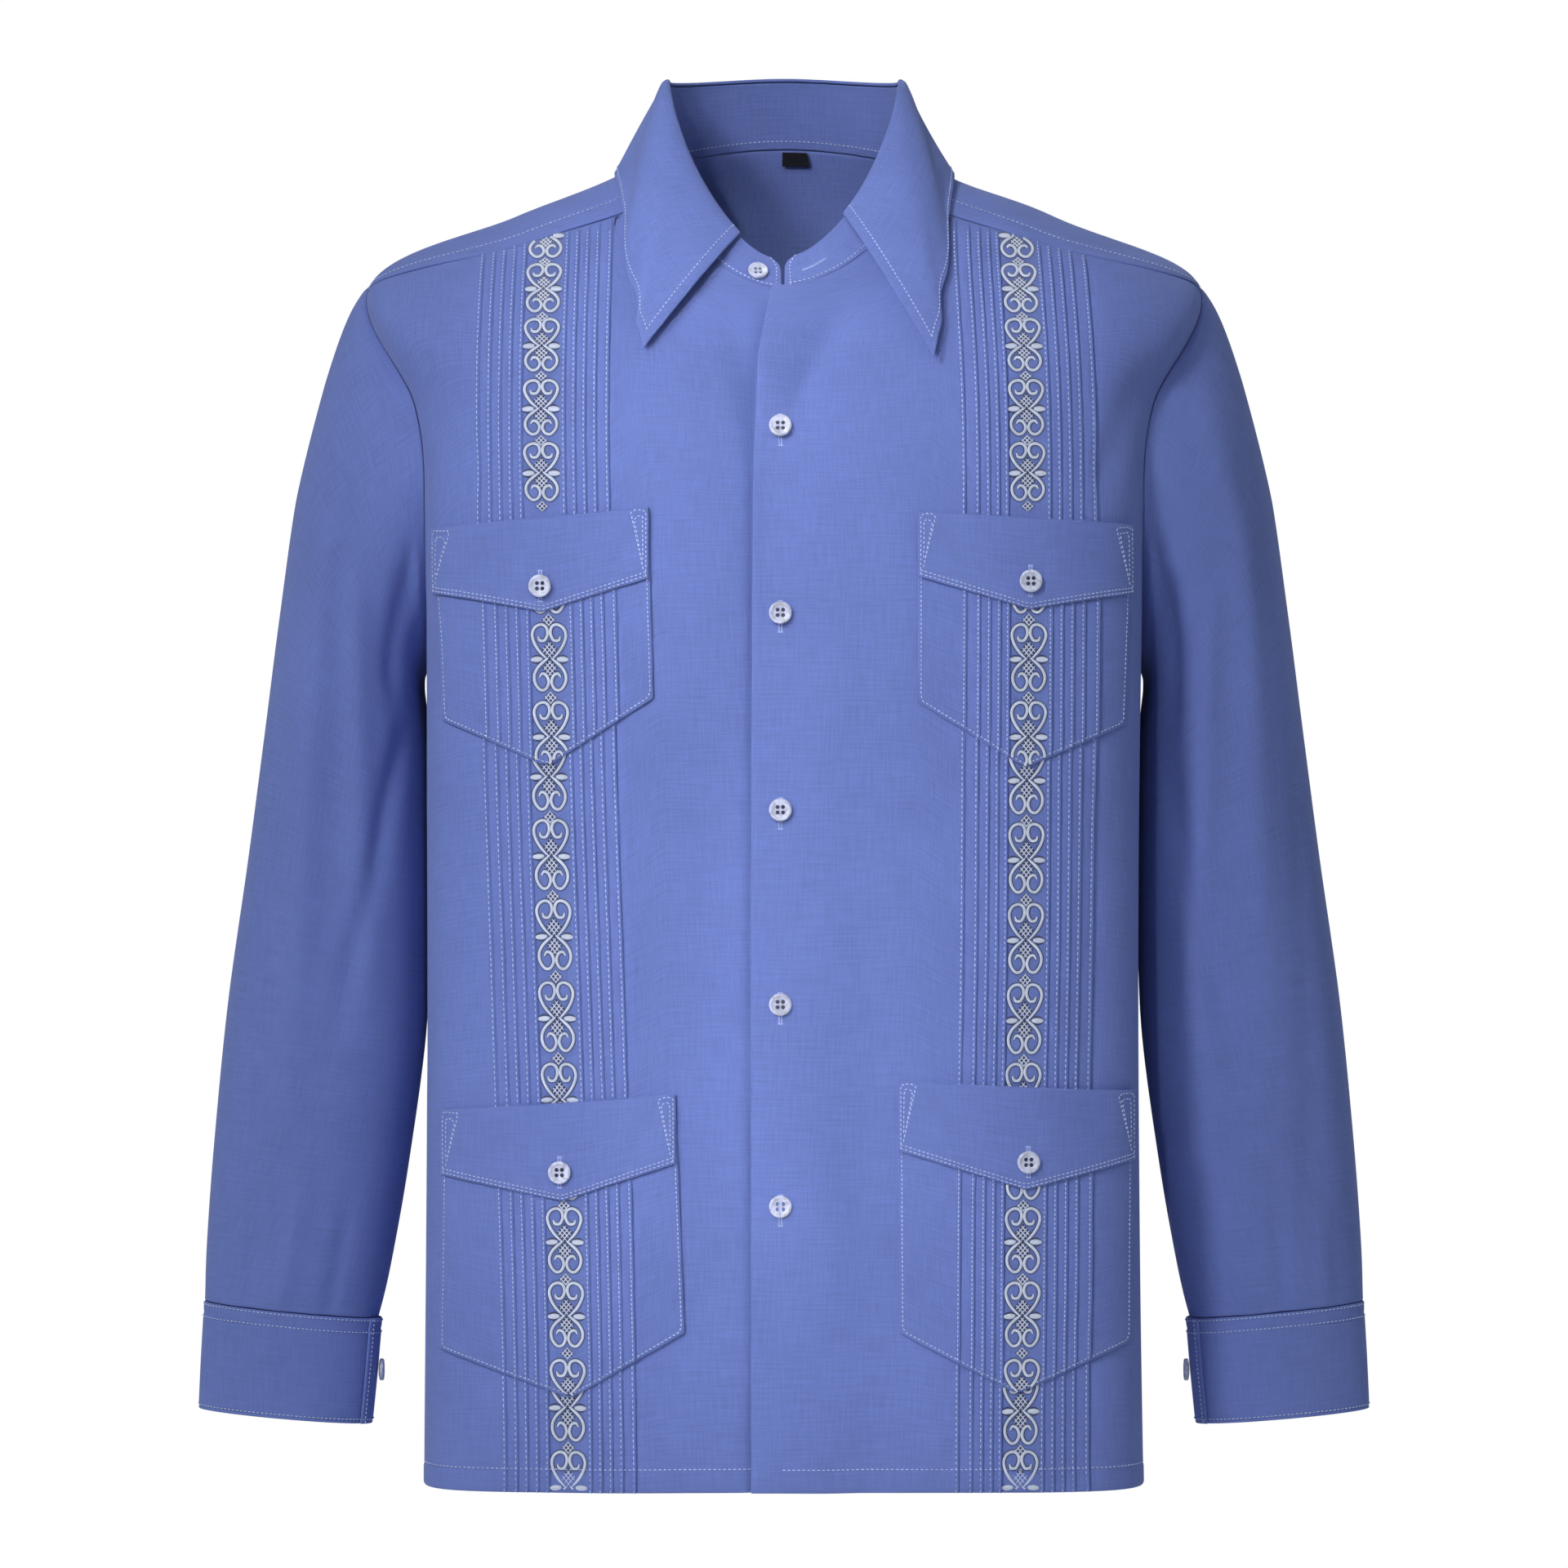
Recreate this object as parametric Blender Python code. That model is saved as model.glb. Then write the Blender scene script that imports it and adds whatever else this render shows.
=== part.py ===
import bpy
import numpy as np
from mathutils import Matrix, Vector

for thing in list(bpy.data.objects):
    bpy.data.objects.remove(thing, do_unlink=True)

# The shirt is worn and filled out: the wearer faces -Y, +Z is up, and the
# origin is midway between the two neck ends of the shoulder line.
clothWall = 0.0014
pocketWall = 0.0012
seamGap = 0.0003
layGap = 0.0006          # a piece that lies on another piece
overlapHalf = 0.018      # half width of the buttoned front overlap
hemZ = -0.741
buttonRadius = 0.00625
buttonHeight = 0.0026

# Rings round the trunk, from the hem up to the fold of the collar.
ringColumns = ("halfWidth", "sideZ", "frontY", "frontZ", "backY", "backZ", "squareFront", "squareBack", "blend")
ringTable = {
    "hem":      (0.2010, hemZ,   0.1130, hemZ,    0.1040, hemZ,   6.0, 5.0, 2.0),
    "seat":     (0.2000, -0.620, 0.1160, -0.620,  0.1070, -0.620, 6.0, 5.0, 2.0),
    "hip":      (0.1992, -0.500, 0.1180, -0.500,  0.1080, -0.500, 6.0, 5.0, 2.0),
    "waist":    (0.1990, -0.390, 0.1200, -0.390,  0.1070, -0.390, 6.0, 4.8, 2.0),
    "underarm": (0.1992, -0.290, 0.1240, -0.290,  0.1080, -0.290, 5.8, 4.5, 2.0),
    "chest":    (0.2010, -0.205, 0.1250, -0.205,  0.1100, -0.205, 5.4, 4.2, 2.0),
    "armhole":  (0.2090, -0.135, 0.1190, -0.157,  0.1090, -0.140, 4.6, 3.8, 2.0),
    "tip":      (0.2330, -0.069, 0.1080, -0.119,  0.1030, -0.082, 3.3, 3.0, 2.0),
    "shoulder": (0.1520, -0.031, 0.0990, -0.095,  0.0900, -0.030, 2.5, 2.5, 2.0),
    "neck":     (0.0830, -0.001, 0.0910, -0.078,  0.0740, 0.0150, 2.2, 2.3, 2.0),
    "fold":     (0.0660, 0.0450, 0.0760, -0.0610, 0.0670, 0.0530, 2.4, 2.8, 1.9),
}
ringNames = list(ringTable)
ringRows = np.array([ringTable[name] for name in ringNames])
row = {name: float(i) for i, name in enumerate(ringNames)}

# The armhole is an oval in ring row and angle round the trunk.
armhole = {"top": row["tip"], "bottom": row["underarm"] + 0.05, "frontDip": 33.0, "backDip": 30.0}

# Sleeve rings: outer and inner points of the arm, then how deep it is.
sleeveColumns = ("outerX", "outerZ", "innerX", "innerZ", "centreY", "halfDepth", "square", "loose")
sleeveTable = {
    "cap one":   (0.2435, -0.0795, 0.2062, -0.2960, 0.002, 0.0760, 2.2, 0.30),
    "cap two":   (0.2540, -0.0990, 0.2072, -0.3010, 0.003, 0.0750, 2.2, 0.58),
    "cap three": (0.2640, -0.1340, 0.2076, -0.3060, 0.004, 0.0740, 2.3, 0.85),
    "upper":     (0.2765, -0.1900, 0.2076, -0.3140, 0.006, 0.0730, 2.4, 1.0),
    "bicep":     (0.2865, -0.2600, 0.2074, -0.3350, 0.008, 0.0710, 2.5, 1.0),
    "above":     (0.2945, -0.3240, 0.2068, -0.3740, 0.009, 0.0680, 2.5, 1.0),
    "elbow":     (0.3035, -0.3950, 0.2058, -0.4260, 0.008, 0.0620, 2.5, 1.0),
    "below":     (0.3145, -0.4750, 0.2050, -0.4920, 0.004, 0.0540, 2.4, 1.0),
    "fore":      (0.3222, -0.5550, 0.2125, -0.5680, -0.001, 0.0450, 2.4, 1.0),
    "wrist":     (0.3265, -0.6130, 0.2225, -0.6240, -0.005, 0.0360, 2.3, 1.0),
    "end":       (0.3276, -0.6434, 0.2295, -0.6530, -0.007, 0.0290, 2.3, 1.0),
}
sleeveRows = np.array(list(sleeveTable.values()))
cuffTable = {
    "top":    (0.3278, -0.6440, 0.2292, -0.6536, -0.007, 0.0288, 2.3, 1.0),
    "middle": (0.3295, -0.6740, 0.2316, -0.6830, -0.008, 0.0275, 2.3, 1.0),
    "bottom": (0.3308, -0.7040, 0.2345, -0.7126, -0.009, 0.0268, 2.3, 1.0),
}
cuffRows = np.array(list(cuffTable.values()))
cuffOverEnd = 150.0      # degrees from the outer side, through the front, to the end that shows
cuffLap = 48.0

# Outer edge of the collar fall, from the wearer's right point round the back:
# share of the way, ring row and angle of the trunk beneath, and height above it.
fallColumns = ("along", "level", "angle", "lift")
fallEdge = {
    "right point": (0.00, 7.00, -18.4, 0.0060),
    "right tip":   (0.05, 7.36, -21.3, 0.0050),
    "right front": (0.12, 7.95, -30.2, 0.0036),
    "right side":  (0.24, 8.62, -55.0, 0.0030),
    "right ridge": (0.34, 8.78, -90.0, 0.0030),
    "right back":  (0.42, 8.76, -135.0, 0.0030),
    "centre back": (0.50, 8.74, -180.0, 0.0030),
    "left back":   (0.58, 8.76, -225.0, 0.0030),
    "left ridge":  (0.66, 8.78, -270.0, 0.0032),
    "left side":   (0.76, 8.58, -305.0, 0.0038),
    "left front":  (0.88, 7.93, -328.4, 0.0050),
    "left tip":    (0.95, 7.26, -338.2, 0.0070),
    "left point":  (1.00, 6.83, -340.6, 0.0085),
}
fallStart, fallEnd = -0.0248, 0.0335     # where the two leaves leave the stand

# Patch pockets: the four corners, the two points, and the two band corners.
pocketColumns = ("topInX", "topInZ", "topOutX", "topOutZ", "lowInX", "lowInZ", "lowOutX", "lowOutZ",
                 "tipX", "tipZ", "bandInZ", "bandOutZ", "bandTipX", "bandTipZ")
pocketTable = {
    "upper_right": (0.0740, -0.2010, 0.1905, -0.2115, 0.0714, -0.3050, 0.1865, -0.3170,
                    0.1295, -0.3425, -0.2395, -0.2470, 0.1320, -0.2578),
    "upper_left":  (0.0732, -0.2030, 0.1895, -0.2095, 0.0732, -0.3073, 0.1865, -0.3193,
                    0.1318, -0.3430, -0.2384, -0.2473, 0.1338, -0.2564),
    "lower_right": (0.0594, -0.5222, 0.1870, -0.5312, 0.0545, -0.6530, 0.1890, -0.6632,
                    0.1170, -0.6887, -0.5599, -0.5670, 0.1214, -0.5804),
    "lower_left":  (0.0625, -0.5147, 0.1925, -0.5209, 0.0634, -0.6530, 0.1910, -0.6592,
                    0.1276, -0.6864, -0.5527, -0.5590, 0.1320, -0.5742),
}
pocketButtons = {"upper_right": (-0.1329, -0.2437), "upper_left": (0.1343, -0.2410),
                 "lower_right": (-0.1227, -0.5646), "lower_left": (0.1335, -0.5590)}
frontButtonZ = (-0.1565, -0.2582, -0.3659, -0.4726, -0.5833)
collarButton = (-0.0146, 9.30)           # x, and ring row on the stand

clothBlue, buttonPearl, labelBlack = (0.150, 0.215, 0.520, 1), (0.75, 0.79, 0.88, 1), (0.02, 0.02, 0.025, 1)


def smoothRows(rows, at):
    """Catmull-Rom through the rows of a table, at fractional row numbers."""
    at = np.clip(np.asarray(at, float), 0, len(rows) - 1)
    i = np.minimum(at.astype(int), len(rows) - 2)
    f = (at - i)[..., None]
    before, here, there, after = (rows[np.clip(i + k, 0, len(rows) - 1)] for k in (-1, 0, 1, 2))
    return here + 0.5 * f * (there - before + f * (
        2 * before - 5 * here + 4 * there - after + f * (3 * (here - there) + after - before)))


def trunkPoint(level, angle):
    """A point of the cloth's outer face: angle 0 is centre front, 90 the wearer's left side."""
    v = smoothRows(ringRows, level)
    half, sideZ, frontY, frontZ, backY, backZ, squareF, squareB, blend = np.moveaxis(v, -1, 0)
    a = np.radians(angle)
    s, c = np.sin(a), np.cos(a)
    front = c >= 0
    n = np.where(front, squareF, squareB)
    r = (np.abs(s) ** n + np.abs(c) ** n) ** (-1 / n)
    y = np.where(front, -frontY * c * r, -backY * c * r)
    z = sideZ + np.where(front, frontZ - sideZ, backZ - sideZ) * np.abs(c) ** blend
    return np.stack(np.broadcast_arrays(half * s * r, y, z), -1)


def trunkNormal(level, angle):
    e = 1e-3
    along = trunkPoint(level, angle + 0.05) - trunkPoint(level, angle - 0.05)
    up = trunkPoint(level + e, angle) - trunkPoint(level - e, angle)
    n = np.cross(along, up)
    return n / np.maximum(np.linalg.norm(n, axis=-1, keepdims=True), 1e-12)


def angleAt(level, x):
    """Angle round the front where the ring at this level passes x."""
    v = smoothRows(ringRows, level)
    share = np.clip(np.abs(x) / v[..., 0], 0, 0.9999)
    n = v[..., 6]
    return np.sign(x) * np.degrees(np.arctan2(share, (1 - share ** n) ** (1 / n)))


def frontSpot(x, z):
    """Ring row and angle of the front where it is seen at (x, z)."""
    x, z = np.broadcast_arrays(np.asarray(x, float), np.asarray(z, float))
    low, high = np.zeros(x.shape), np.full(x.shape, row["neck"])
    for _ in range(40):
        level = (low + high) / 2
        below = trunkPoint(level, angleAt(level, x))[..., 2] < z
        low, high = np.where(below, level, low), np.where(below, high, level)
    return level, angleAt(level, x)


def overlapLift(x):
    """The wearer's left front lies over the right one along the centre."""
    away = np.clip((x - overlapHalf - 0.001) / 0.026, 0, 1)
    return (clothWall + 0.0009) * (1 - away * away * (3 - 2 * away))


def overEdge(z):
    """The free edge of the wearer's left front, which swings in at the neck."""
    return np.interp(z, (-0.40, -0.19, -0.12, -0.088, -0.077), (-0.0180, -0.0169, -0.0143, -0.0089, -0.0067))


def addNode(name, points, faces, colour, rough=0.8):
    mesh = bpy.data.meshes.new(name)
    mesh.from_pydata([tuple(p) for p in points], [], [tuple(int(i) for i in f) for f in faces])
    mesh.validate()
    mesh.shade_smooth()
    node = bpy.data.objects.new(name, mesh)
    bpy.context.scene.collection.objects.link(node)
    stuff = bpy.data.materials.new(name)
    stuff.use_nodes = True
    shader = stuff.node_tree.nodes["Principled BSDF"]
    shader.inputs["Base Color"].default_value = colour
    shader.inputs["Roughness"].default_value = rough
    stuff.diffuse_color = colour
    mesh.materials.append(stuff)
    return node


def pullIn(points, sides, gap=seamGap / 2):
    """Draws the named edges of a grid back along its own rows and columns."""
    points = points.copy()
    for side in sides:
        view = {"low": points, "high": points[::-1], "start": points.swapaxes(0, 1),
                "end": points.swapaxes(0, 1)[::-1]}[side]
        step = view[1] - view[0]
        view[0] += step * gap / np.linalg.norm(step, axis=-1, keepdims=True)
    return points


def closedShell(name, outer, inner, colour=clothBlue, ring=False, rough=0.8):
    """A solid between two grids of the same shape; ring joins the last column to the first."""
    rows, columns = outer.shape[:2]
    index = np.arange(rows * columns).reshape(rows, columns)
    if ring:
        index = np.concatenate([index, index[:, :1]], 1)
    under = index + rows * columns

    def quads(a, b, c, d):
        return np.stack([a, b, c, d], -1).reshape(-1, 4)

    faces = [quads(index[:-1, :-1], index[:-1, 1:], index[1:, 1:], index[1:, :-1]),
             quads(under[:-1, :-1], under[1:, :-1], under[1:, 1:], under[:-1, 1:]),
             quads(index[0, :-1], under[0, :-1], under[0, 1:], index[0, 1:]),
             quads(index[-1, :-1], index[-1, 1:], under[-1, 1:], under[-1, :-1])]
    if not ring:
        faces += [quads(index[:-1, 0], index[1:, 0], under[1:, 0], under[:-1, 0]),
                  quads(index[:-1, -1], under[:-1, -1], under[1:, -1], index[1:, -1])]
    faces = np.concatenate(faces)
    points = np.concatenate([outer.reshape(-1, 3), inner.reshape(-1, 3)])
    a, b, c, d = (points[faces[:, k]] for k in range(4))
    if (np.cross(b - a, c - a) * a).sum() + (np.cross(c - a, d - a) * a).sum() < 0:
        faces = faces[:, ::-1]
    return addNode(name, points, faces, colour, rough)


def trunkShell(name, level, angle, lift, wall, sides, colour=clothBlue, gap=seamGap / 2):
    """A piece of cloth on the trunk's own surface, lifted by so much."""
    lift = np.broadcast_to(np.asarray(lift, float), level.shape)[..., None]
    base, normal = trunkPoint(level, angle), trunkNormal(level, angle)
    return closedShell(name, pullIn(base + normal * lift, sides, gap),
                       pullIn(base + normal * (lift - wall), sides, gap), colour)


def armholeAngle(level, front=True):
    """Angle of the body's cut edge at each level: the side seam below, the armhole above."""
    middle = (armhole["top"] + armhole["bottom"]) / 2
    reach = (armhole["top"] - armhole["bottom"]) / 2
    across = np.sqrt(np.clip(1 - ((level - middle) / reach) ** 2, 0, 1))
    across = np.where(level < armhole["bottom"], 0, across)
    return 90 - armhole["frontDip"] * across if front else 90 + armhole["backDip"] * across


def armholePoint(turn):
    """A point on the armhole's rim: turn 0 at the shoulder tip, 90 at the front, 180 under the arm."""
    middle = (armhole["top"] + armhole["bottom"]) / 2
    reach = (armhole["top"] - armhole["bottom"]) / 2
    level = middle + reach * np.cos(np.radians(turn))
    s = np.sin(np.radians(turn))
    return level, 90 - np.where(s > 0, armhole["frontDip"], armhole["backDip"]) * s


# The yoke's front seam from the neck to the armhole, and its back seam, by ring row and angle.
seamTip, seamBack = 20.0, -37.0
yokeSeam = {"neck": (9.0, 57.0), "by the neck": (8.62, 57.3), "a third": (8.22, 58.0), "half": (7.86, 59.2),
            "two thirds": (7.52, 61.6), "outer": (7.20, 67.0), "armhole": None}
neckFront = np.array((0.0, 12.0, 22.0, 31.0, 40.0, 49.0, 57.0))
neckBack = np.array((57.0, 70.0, 83.0, 97.0, 112.0, 129.0, 146.0, 163.0, 180.0))
# Columns of a front, close together where the cloth turns to the side.
sideColumns = np.array((0, 5, 12, 19, 25, 30.5, 36, 40, 44, 48, 53, 60, 73, 90)) / 90
pocketBends = np.array((0.105, 0.150, 0.163, 0.173, 0.181, 0.187))


def yokeFront():
    """Rows and angles of the front yoke seam's knots."""
    ends = [spot if spot else tuple(float(v) for v in armholePoint(seamTip)) for spot in yokeSeam.values()]
    return np.array(ends).T


def frontPanel(name, side, rows=17):
    """One front: grid from the centre edge to the side seam and armhole."""
    up = np.linspace(0, 1, rows)
    seamLevel, seamAngle = yokeFront()
    topLevel = np.r_[np.full(7, row["neck"]), seamLevel]
    neckEdge = -0.0067 if side > 0 else -0.0060
    topAngle = np.r_[angleAt(np.array(row["neck"]), np.array(neckEdge)), neckFront[:6], seamAngle]
    level = up[:, None] * topLevel
    z = trunkPoint(level[:, 0], np.zeros(rows))[:, 2]
    edgeX = overEdge(z) if side > 0 else np.interp(z, (-0.19, -0.078), (-overlapHalf, neckEdge))
    startAngle = angleAt(level[:, 0], edgeX)
    startAngle[-1] = topAngle[0]
    endAngle = armholeAngle(level[:, -1])
    endAngle[-1] = seamAngle[-1]
    toTop = np.clip((up - 0.45) / 0.55, 0, 1)[:, None]
    toTop = toTop * toTop * (3 - 2 * toTop)
    topShare = (topAngle - topAngle[0]) / (topAngle[-1] - topAngle[0])
    share = sideColumns * (1 - toTop) + topShare * toTop
    angle = startAngle[:, None] + (endAngle - startAngle)[:, None] * share
    x = trunkPoint(level, angle)[..., 0]
    lift = overlapLift(x) if side > 0 else 0 * x
    return trunkShell(name, level, angle * side, lift, clothWall, ("end", "high"))


backHalf = np.array((0, 0.17, 0.32, 0.41, 0.48, 0.54, 0.60, 0.67, 0.76, 0.88, 1))
backShare = np.r_[-backHalf[:0:-1], backHalf]


def backSeam(share):
    """Row and angle of the back yoke seam, from -1 at the wearer's left to 1 at the right."""
    tipLevel, tipAngle = (float(v) for v in armholePoint(seamBack))
    level = row["tip"] + 0.18 + (tipLevel - row["tip"] - 0.18) * np.abs(share) ** 1.6
    return level, 180 + share * (180 - tipAngle)


def backPanel(rows=14):
    top = backSeam(backShare)
    level = np.linspace(0, 1, rows)[:, None] * top[0]
    edge = armholeAngle(level[:, -1:], front=False)
    angle = 180 + backShare * (180 - edge)
    angle[-1] = top[1]
    return trunkShell("back_panel", level, angle, 0.0, clothWall, ("start", "end", "high"))


def yokeGrid(rows):
    """Front seams and neck edge on one side, back seam on the other, from the left armhole to the right."""
    seamLevel, seamAngle = yokeFront()
    halfLevel = np.r_[seamLevel[::-1], np.full(len(neckBack) - 1, row["neck"])]
    halfAngle = np.r_[seamAngle[::-1], neckBack[1:]]
    frontLevel = np.r_[halfLevel, halfLevel[-2::-1]]
    frontAngle = np.r_[halfAngle, 360 - halfAngle[-2::-1]]
    seam = len(seamLevel)
    half = np.interp(np.arange(len(halfLevel)), (0, seam - 1, len(halfLevel) - 1), (-1, -0.60, 0))
    backLevel, backAngle = backSeam(np.r_[half, -half[-2::-1]])
    down = np.linspace(0, 1, rows)[:, None]
    level = frontLevel + (backLevel - frontLevel) * down
    angle = frontAngle + (backAngle - frontAngle) * down
    rimLevel, rimAngle = armholePoint(seamTip + (seamBack - seamTip) * down[:, 0])
    level[:, 0], level[:, -1] = rimLevel, rimLevel
    angle[:, 0], angle[:, -1] = rimAngle, 360 - rimAngle
    return level, angle


def sleeveRing(values, turn):
    outerX, outerZ, innerX, innerZ, centreY, depth, square = (values[..., k, None] for k in range(7))
    s, c = np.sin(np.radians(turn)), np.cos(np.radians(turn))
    r = (np.abs(s) ** square + np.abs(c) ** square) ** (-1 / square)
    x = (outerX + innerX) / 2 + (outerX - innerX) / 2 * c * r
    z = (outerZ + innerZ) / 2 + (outerZ - innerZ) / 2 * c * r
    return np.stack(np.broadcast_arrays(x, centreY - depth * s * r, z), -1)


def gridNormal(grid, ring):
    if ring:
        across = np.roll(grid, -1, 1) - np.roll(grid, 1, 1)
    else:
        across = np.gradient(grid, axis=1)
    n = np.cross(across, np.gradient(grid, axis=0))
    return n / np.maximum(np.linalg.norm(n, axis=-1, keepdims=True), 1e-12)


def sleeve(name, side, rows=15, columns=22):
    turn = np.arange(columns) * 360 / columns
    at = np.concatenate([[0.0], np.linspace(0.8, len(sleeveRows), rows - 1)])
    free = sleeveRing(smoothRows(sleeveRows, at - 1), turn)
    loose = np.interp(at, np.arange(len(sleeveRows) + 1), np.r_[0, sleeveRows[:, 7]])[:, None, None]
    level, angle = armholePoint(turn)
    rim = trunkPoint(level, angle) + np.array([0.0006, 0, 0])
    grid = rim * (1 - loose) + free * loose
    normal = gridNormal(grid, True)
    normal[0] = normal[0] * 0.4 + trunkNormal(level, angle) * 0.6
    normal /= np.linalg.norm(normal, axis=-1, keepdims=True)
    mirror = np.array([side, 1, 1])
    outward = np.sign((normal[4:, :, 0] * (grid[4:, :, 0] - grid[4:, :, 0].mean(1, keepdims=True))).sum())
    inner = grid - normal * clothWall * outward
    inner[0] = grid[0] - trunkNormal(level, angle) * clothWall
    inner = pullIn(inner, ("low",), 0.0020)
    return closedShell(name, pullIn(grid, ("low",), 0.0020) * mirror, inner * mirror, ring=True)


def cuff(name, side, rows=3, columns=34):
    turn = np.linspace(cuffOverEnd, cuffOverEnd + 360 + cuffLap, columns)
    base = sleeveRing(smoothRows(cuffRows, np.linspace(0, len(cuffRows) - 1, rows)), turn)
    e = 0.5
    across = sleeveRing(smoothRows(cuffRows, np.linspace(0, len(cuffRows) - 1, rows)), turn + e) - base
    down = (base[-1:] - base[:1])
    normal = np.cross(across, down)
    normal /= np.linalg.norm(normal, axis=-1, keepdims=True)
    middle = base.mean(1, keepdims=True)
    normal *= np.sign((normal * (base - middle)).sum())
    away = np.clip((turn - cuffOverEnd - cuffLap - 8) / 60, 0, 1)
    lift = (clothWall + layGap) * (1 - away * away * (3 - 2 * away))
    outer = base + normal * lift[None, :, None]
    mirror = np.array([side, 1, 1])
    return closedShell(name, outer * mirror, (outer - normal * clothWall) * mirror)


def standGrid(rows):
    """Collar stand, from the wearer's right end round the back to the left end."""
    around = np.r_[-neckFront[:-1], -neckBack, -360 + neckBack[-2::-1], -360 + neckFront[-2::-1]]
    level = np.linspace(row["neck"], row["fold"], rows)[:, None] * np.ones(len(around))
    angle = np.ones((rows, 1)) * around
    rounding = np.clip((level[:, 0] - row["neck"] - 0.5) / 0.5, 0, 1) ** 2 * 5.0
    angle[:, 0] = angleAt(level[:, 0], np.array(-0.0014)) - rounding
    angle[:, -1] = angleAt(level[:, 0], np.array(0.0004)) - 360 + rounding
    return level, angle


def collarStand(rows=4):
    level, angle = standGrid(rows)
    x = trunkPoint(level, angle)[..., 0]
    lift = np.where(np.mod(angle, 360) < 90, overlapLift(x), 0.0)[..., None]
    base, normal = trunkPoint(level, angle), trunkNormal(level, angle)
    outer, inner = base + normal * lift, base + normal * (lift - clothWall)
    return closedShell("collar_stand", pullIn(outer, ("low",), 0.0003), pullIn(inner, ("low",), 0.0003))


def collarFall(columns=40):
    """Fall of the collar: rolls over the top of the stand and lies down to its outer edge."""
    share = np.linspace(0, 1, columns)
    top = row["fold"]
    first = angleAt(np.array(top), np.array(fallStart))
    last = angleAt(np.array(top), np.array(fallEnd)) - 360
    angle = first + (last - first) * share
    level = np.full(columns, top)
    crest, out = trunkPoint(level, angle), trunkNormal(level, angle)
    up = crest - trunkPoint(level - 0.2, angle)
    up /= np.linalg.norm(up, axis=-1, keepdims=True)
    lift = np.where(np.mod(angle, 360) < 90, overlapLift(crest[:, 0]), 0)[:, None]
    crest = crest + out * lift
    stations = np.array(list(fallEdge.values()))
    nodes = np.interp(share, stations[:, 0], np.arange(len(stations)))
    edgeLevel, edgeAngle, edgeLift = np.moveaxis(smoothRows(stations[:, 1:], nodes), -1, 0)
    edge = trunkPoint(edgeLevel, edgeAngle) + trunkNormal(edgeLevel, edgeAngle) * edgeLift[:, None]
    start = crest + out * (layGap + clothWall + 0.0011) - up * 0.0004
    outer = [crest - out * clothWall * 0.9 + up * (clothWall + layGap),
             crest + out * 0.0008 + up * (clothWall + layGap + 0.0004), start]
    inner = [crest - out * clothWall * 0.9 + up * layGap, crest + out * 0.0004 + up * layGap,
             crest + out * (layGap + 0.0011) - up * 0.0006]
    bow = (0.0030 + 0.0040 * np.clip(np.cos(np.radians(angle)), 0, 1))[:, None]
    for f in (0.25, 0.5, 0.75, 1.0):
        roll = out * bow * np.sin(np.pi * f ** 0.75)
        outer.append(start + (edge - start) * f + roll)
    outer = np.array(outer)
    normal = gridNormal(outer, False)
    normal *= np.sign((normal[4] * out).sum())
    inner = np.concatenate([np.array(inner), (outer - normal * clothWall)[3:]])
    return closedShell("collar_fall", outer, inner)


def pocketSpot(values, side, across, down, band):
    """Front position of a point of a pocket or of its band."""
    (inX, inZ, outX, outZ, lowInX, lowInZ, lowOutX, lowOutZ,
     tipX, tipZ, bandInZ, bandOutZ, bandTipX, bandTipZ) = values
    topZ = inZ + (outZ - inZ) * across
    if band:
        tipShare = (bandTipX - inX) / (outX - inX)
        endZ = np.interp(across, (0, tipShare, 1), (bandInZ, bandTipZ, bandOutZ))
        x = inX + (outX - inX) * across
        return x * side, topZ + (endZ - topZ) * down
    tipShare = (tipX - lowInX) / (lowOutX - lowInX)
    endZ = np.interp(across, (0, tipShare, 1), (lowInZ, tipZ, lowOutZ))
    left, right = inX + (lowInX - inX) * down, outX + (lowOutX - outX) * down
    return (left + (right - left) * across) * side, topZ + (endZ - topZ) * down


def pocket(name, values, side, band):
    tip = (values[12] - values[0]) / (values[2] - values[0]) if band else \
        (values[8] - values[4]) / (values[6] - values[4])
    along = (pocketBends - values[0]) / (values[2] - values[0])
    along = along[(along > 0.04) & (along < 0.99) & (np.abs(along - tip) > 0.03)]
    across = np.sort(np.r_[0, tip, 1, along])
    down = np.linspace(0, 1, 3 if band else 6)[:, None]
    grow = 0.0008 if band else 0.0
    x, z = pocketSpot(values, side, across * np.ones_like(down), down, band)
    z = z + grow * (1 - down)
    level, angle = frontSpot(x, z)
    lift = layGap + pocketWall + (layGap + pocketWall if band else 0)
    lift = lift + (overlapLift(x) if side > 0 else 0)
    return trunkShell(name, level, angle, lift, pocketWall, ())


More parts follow.
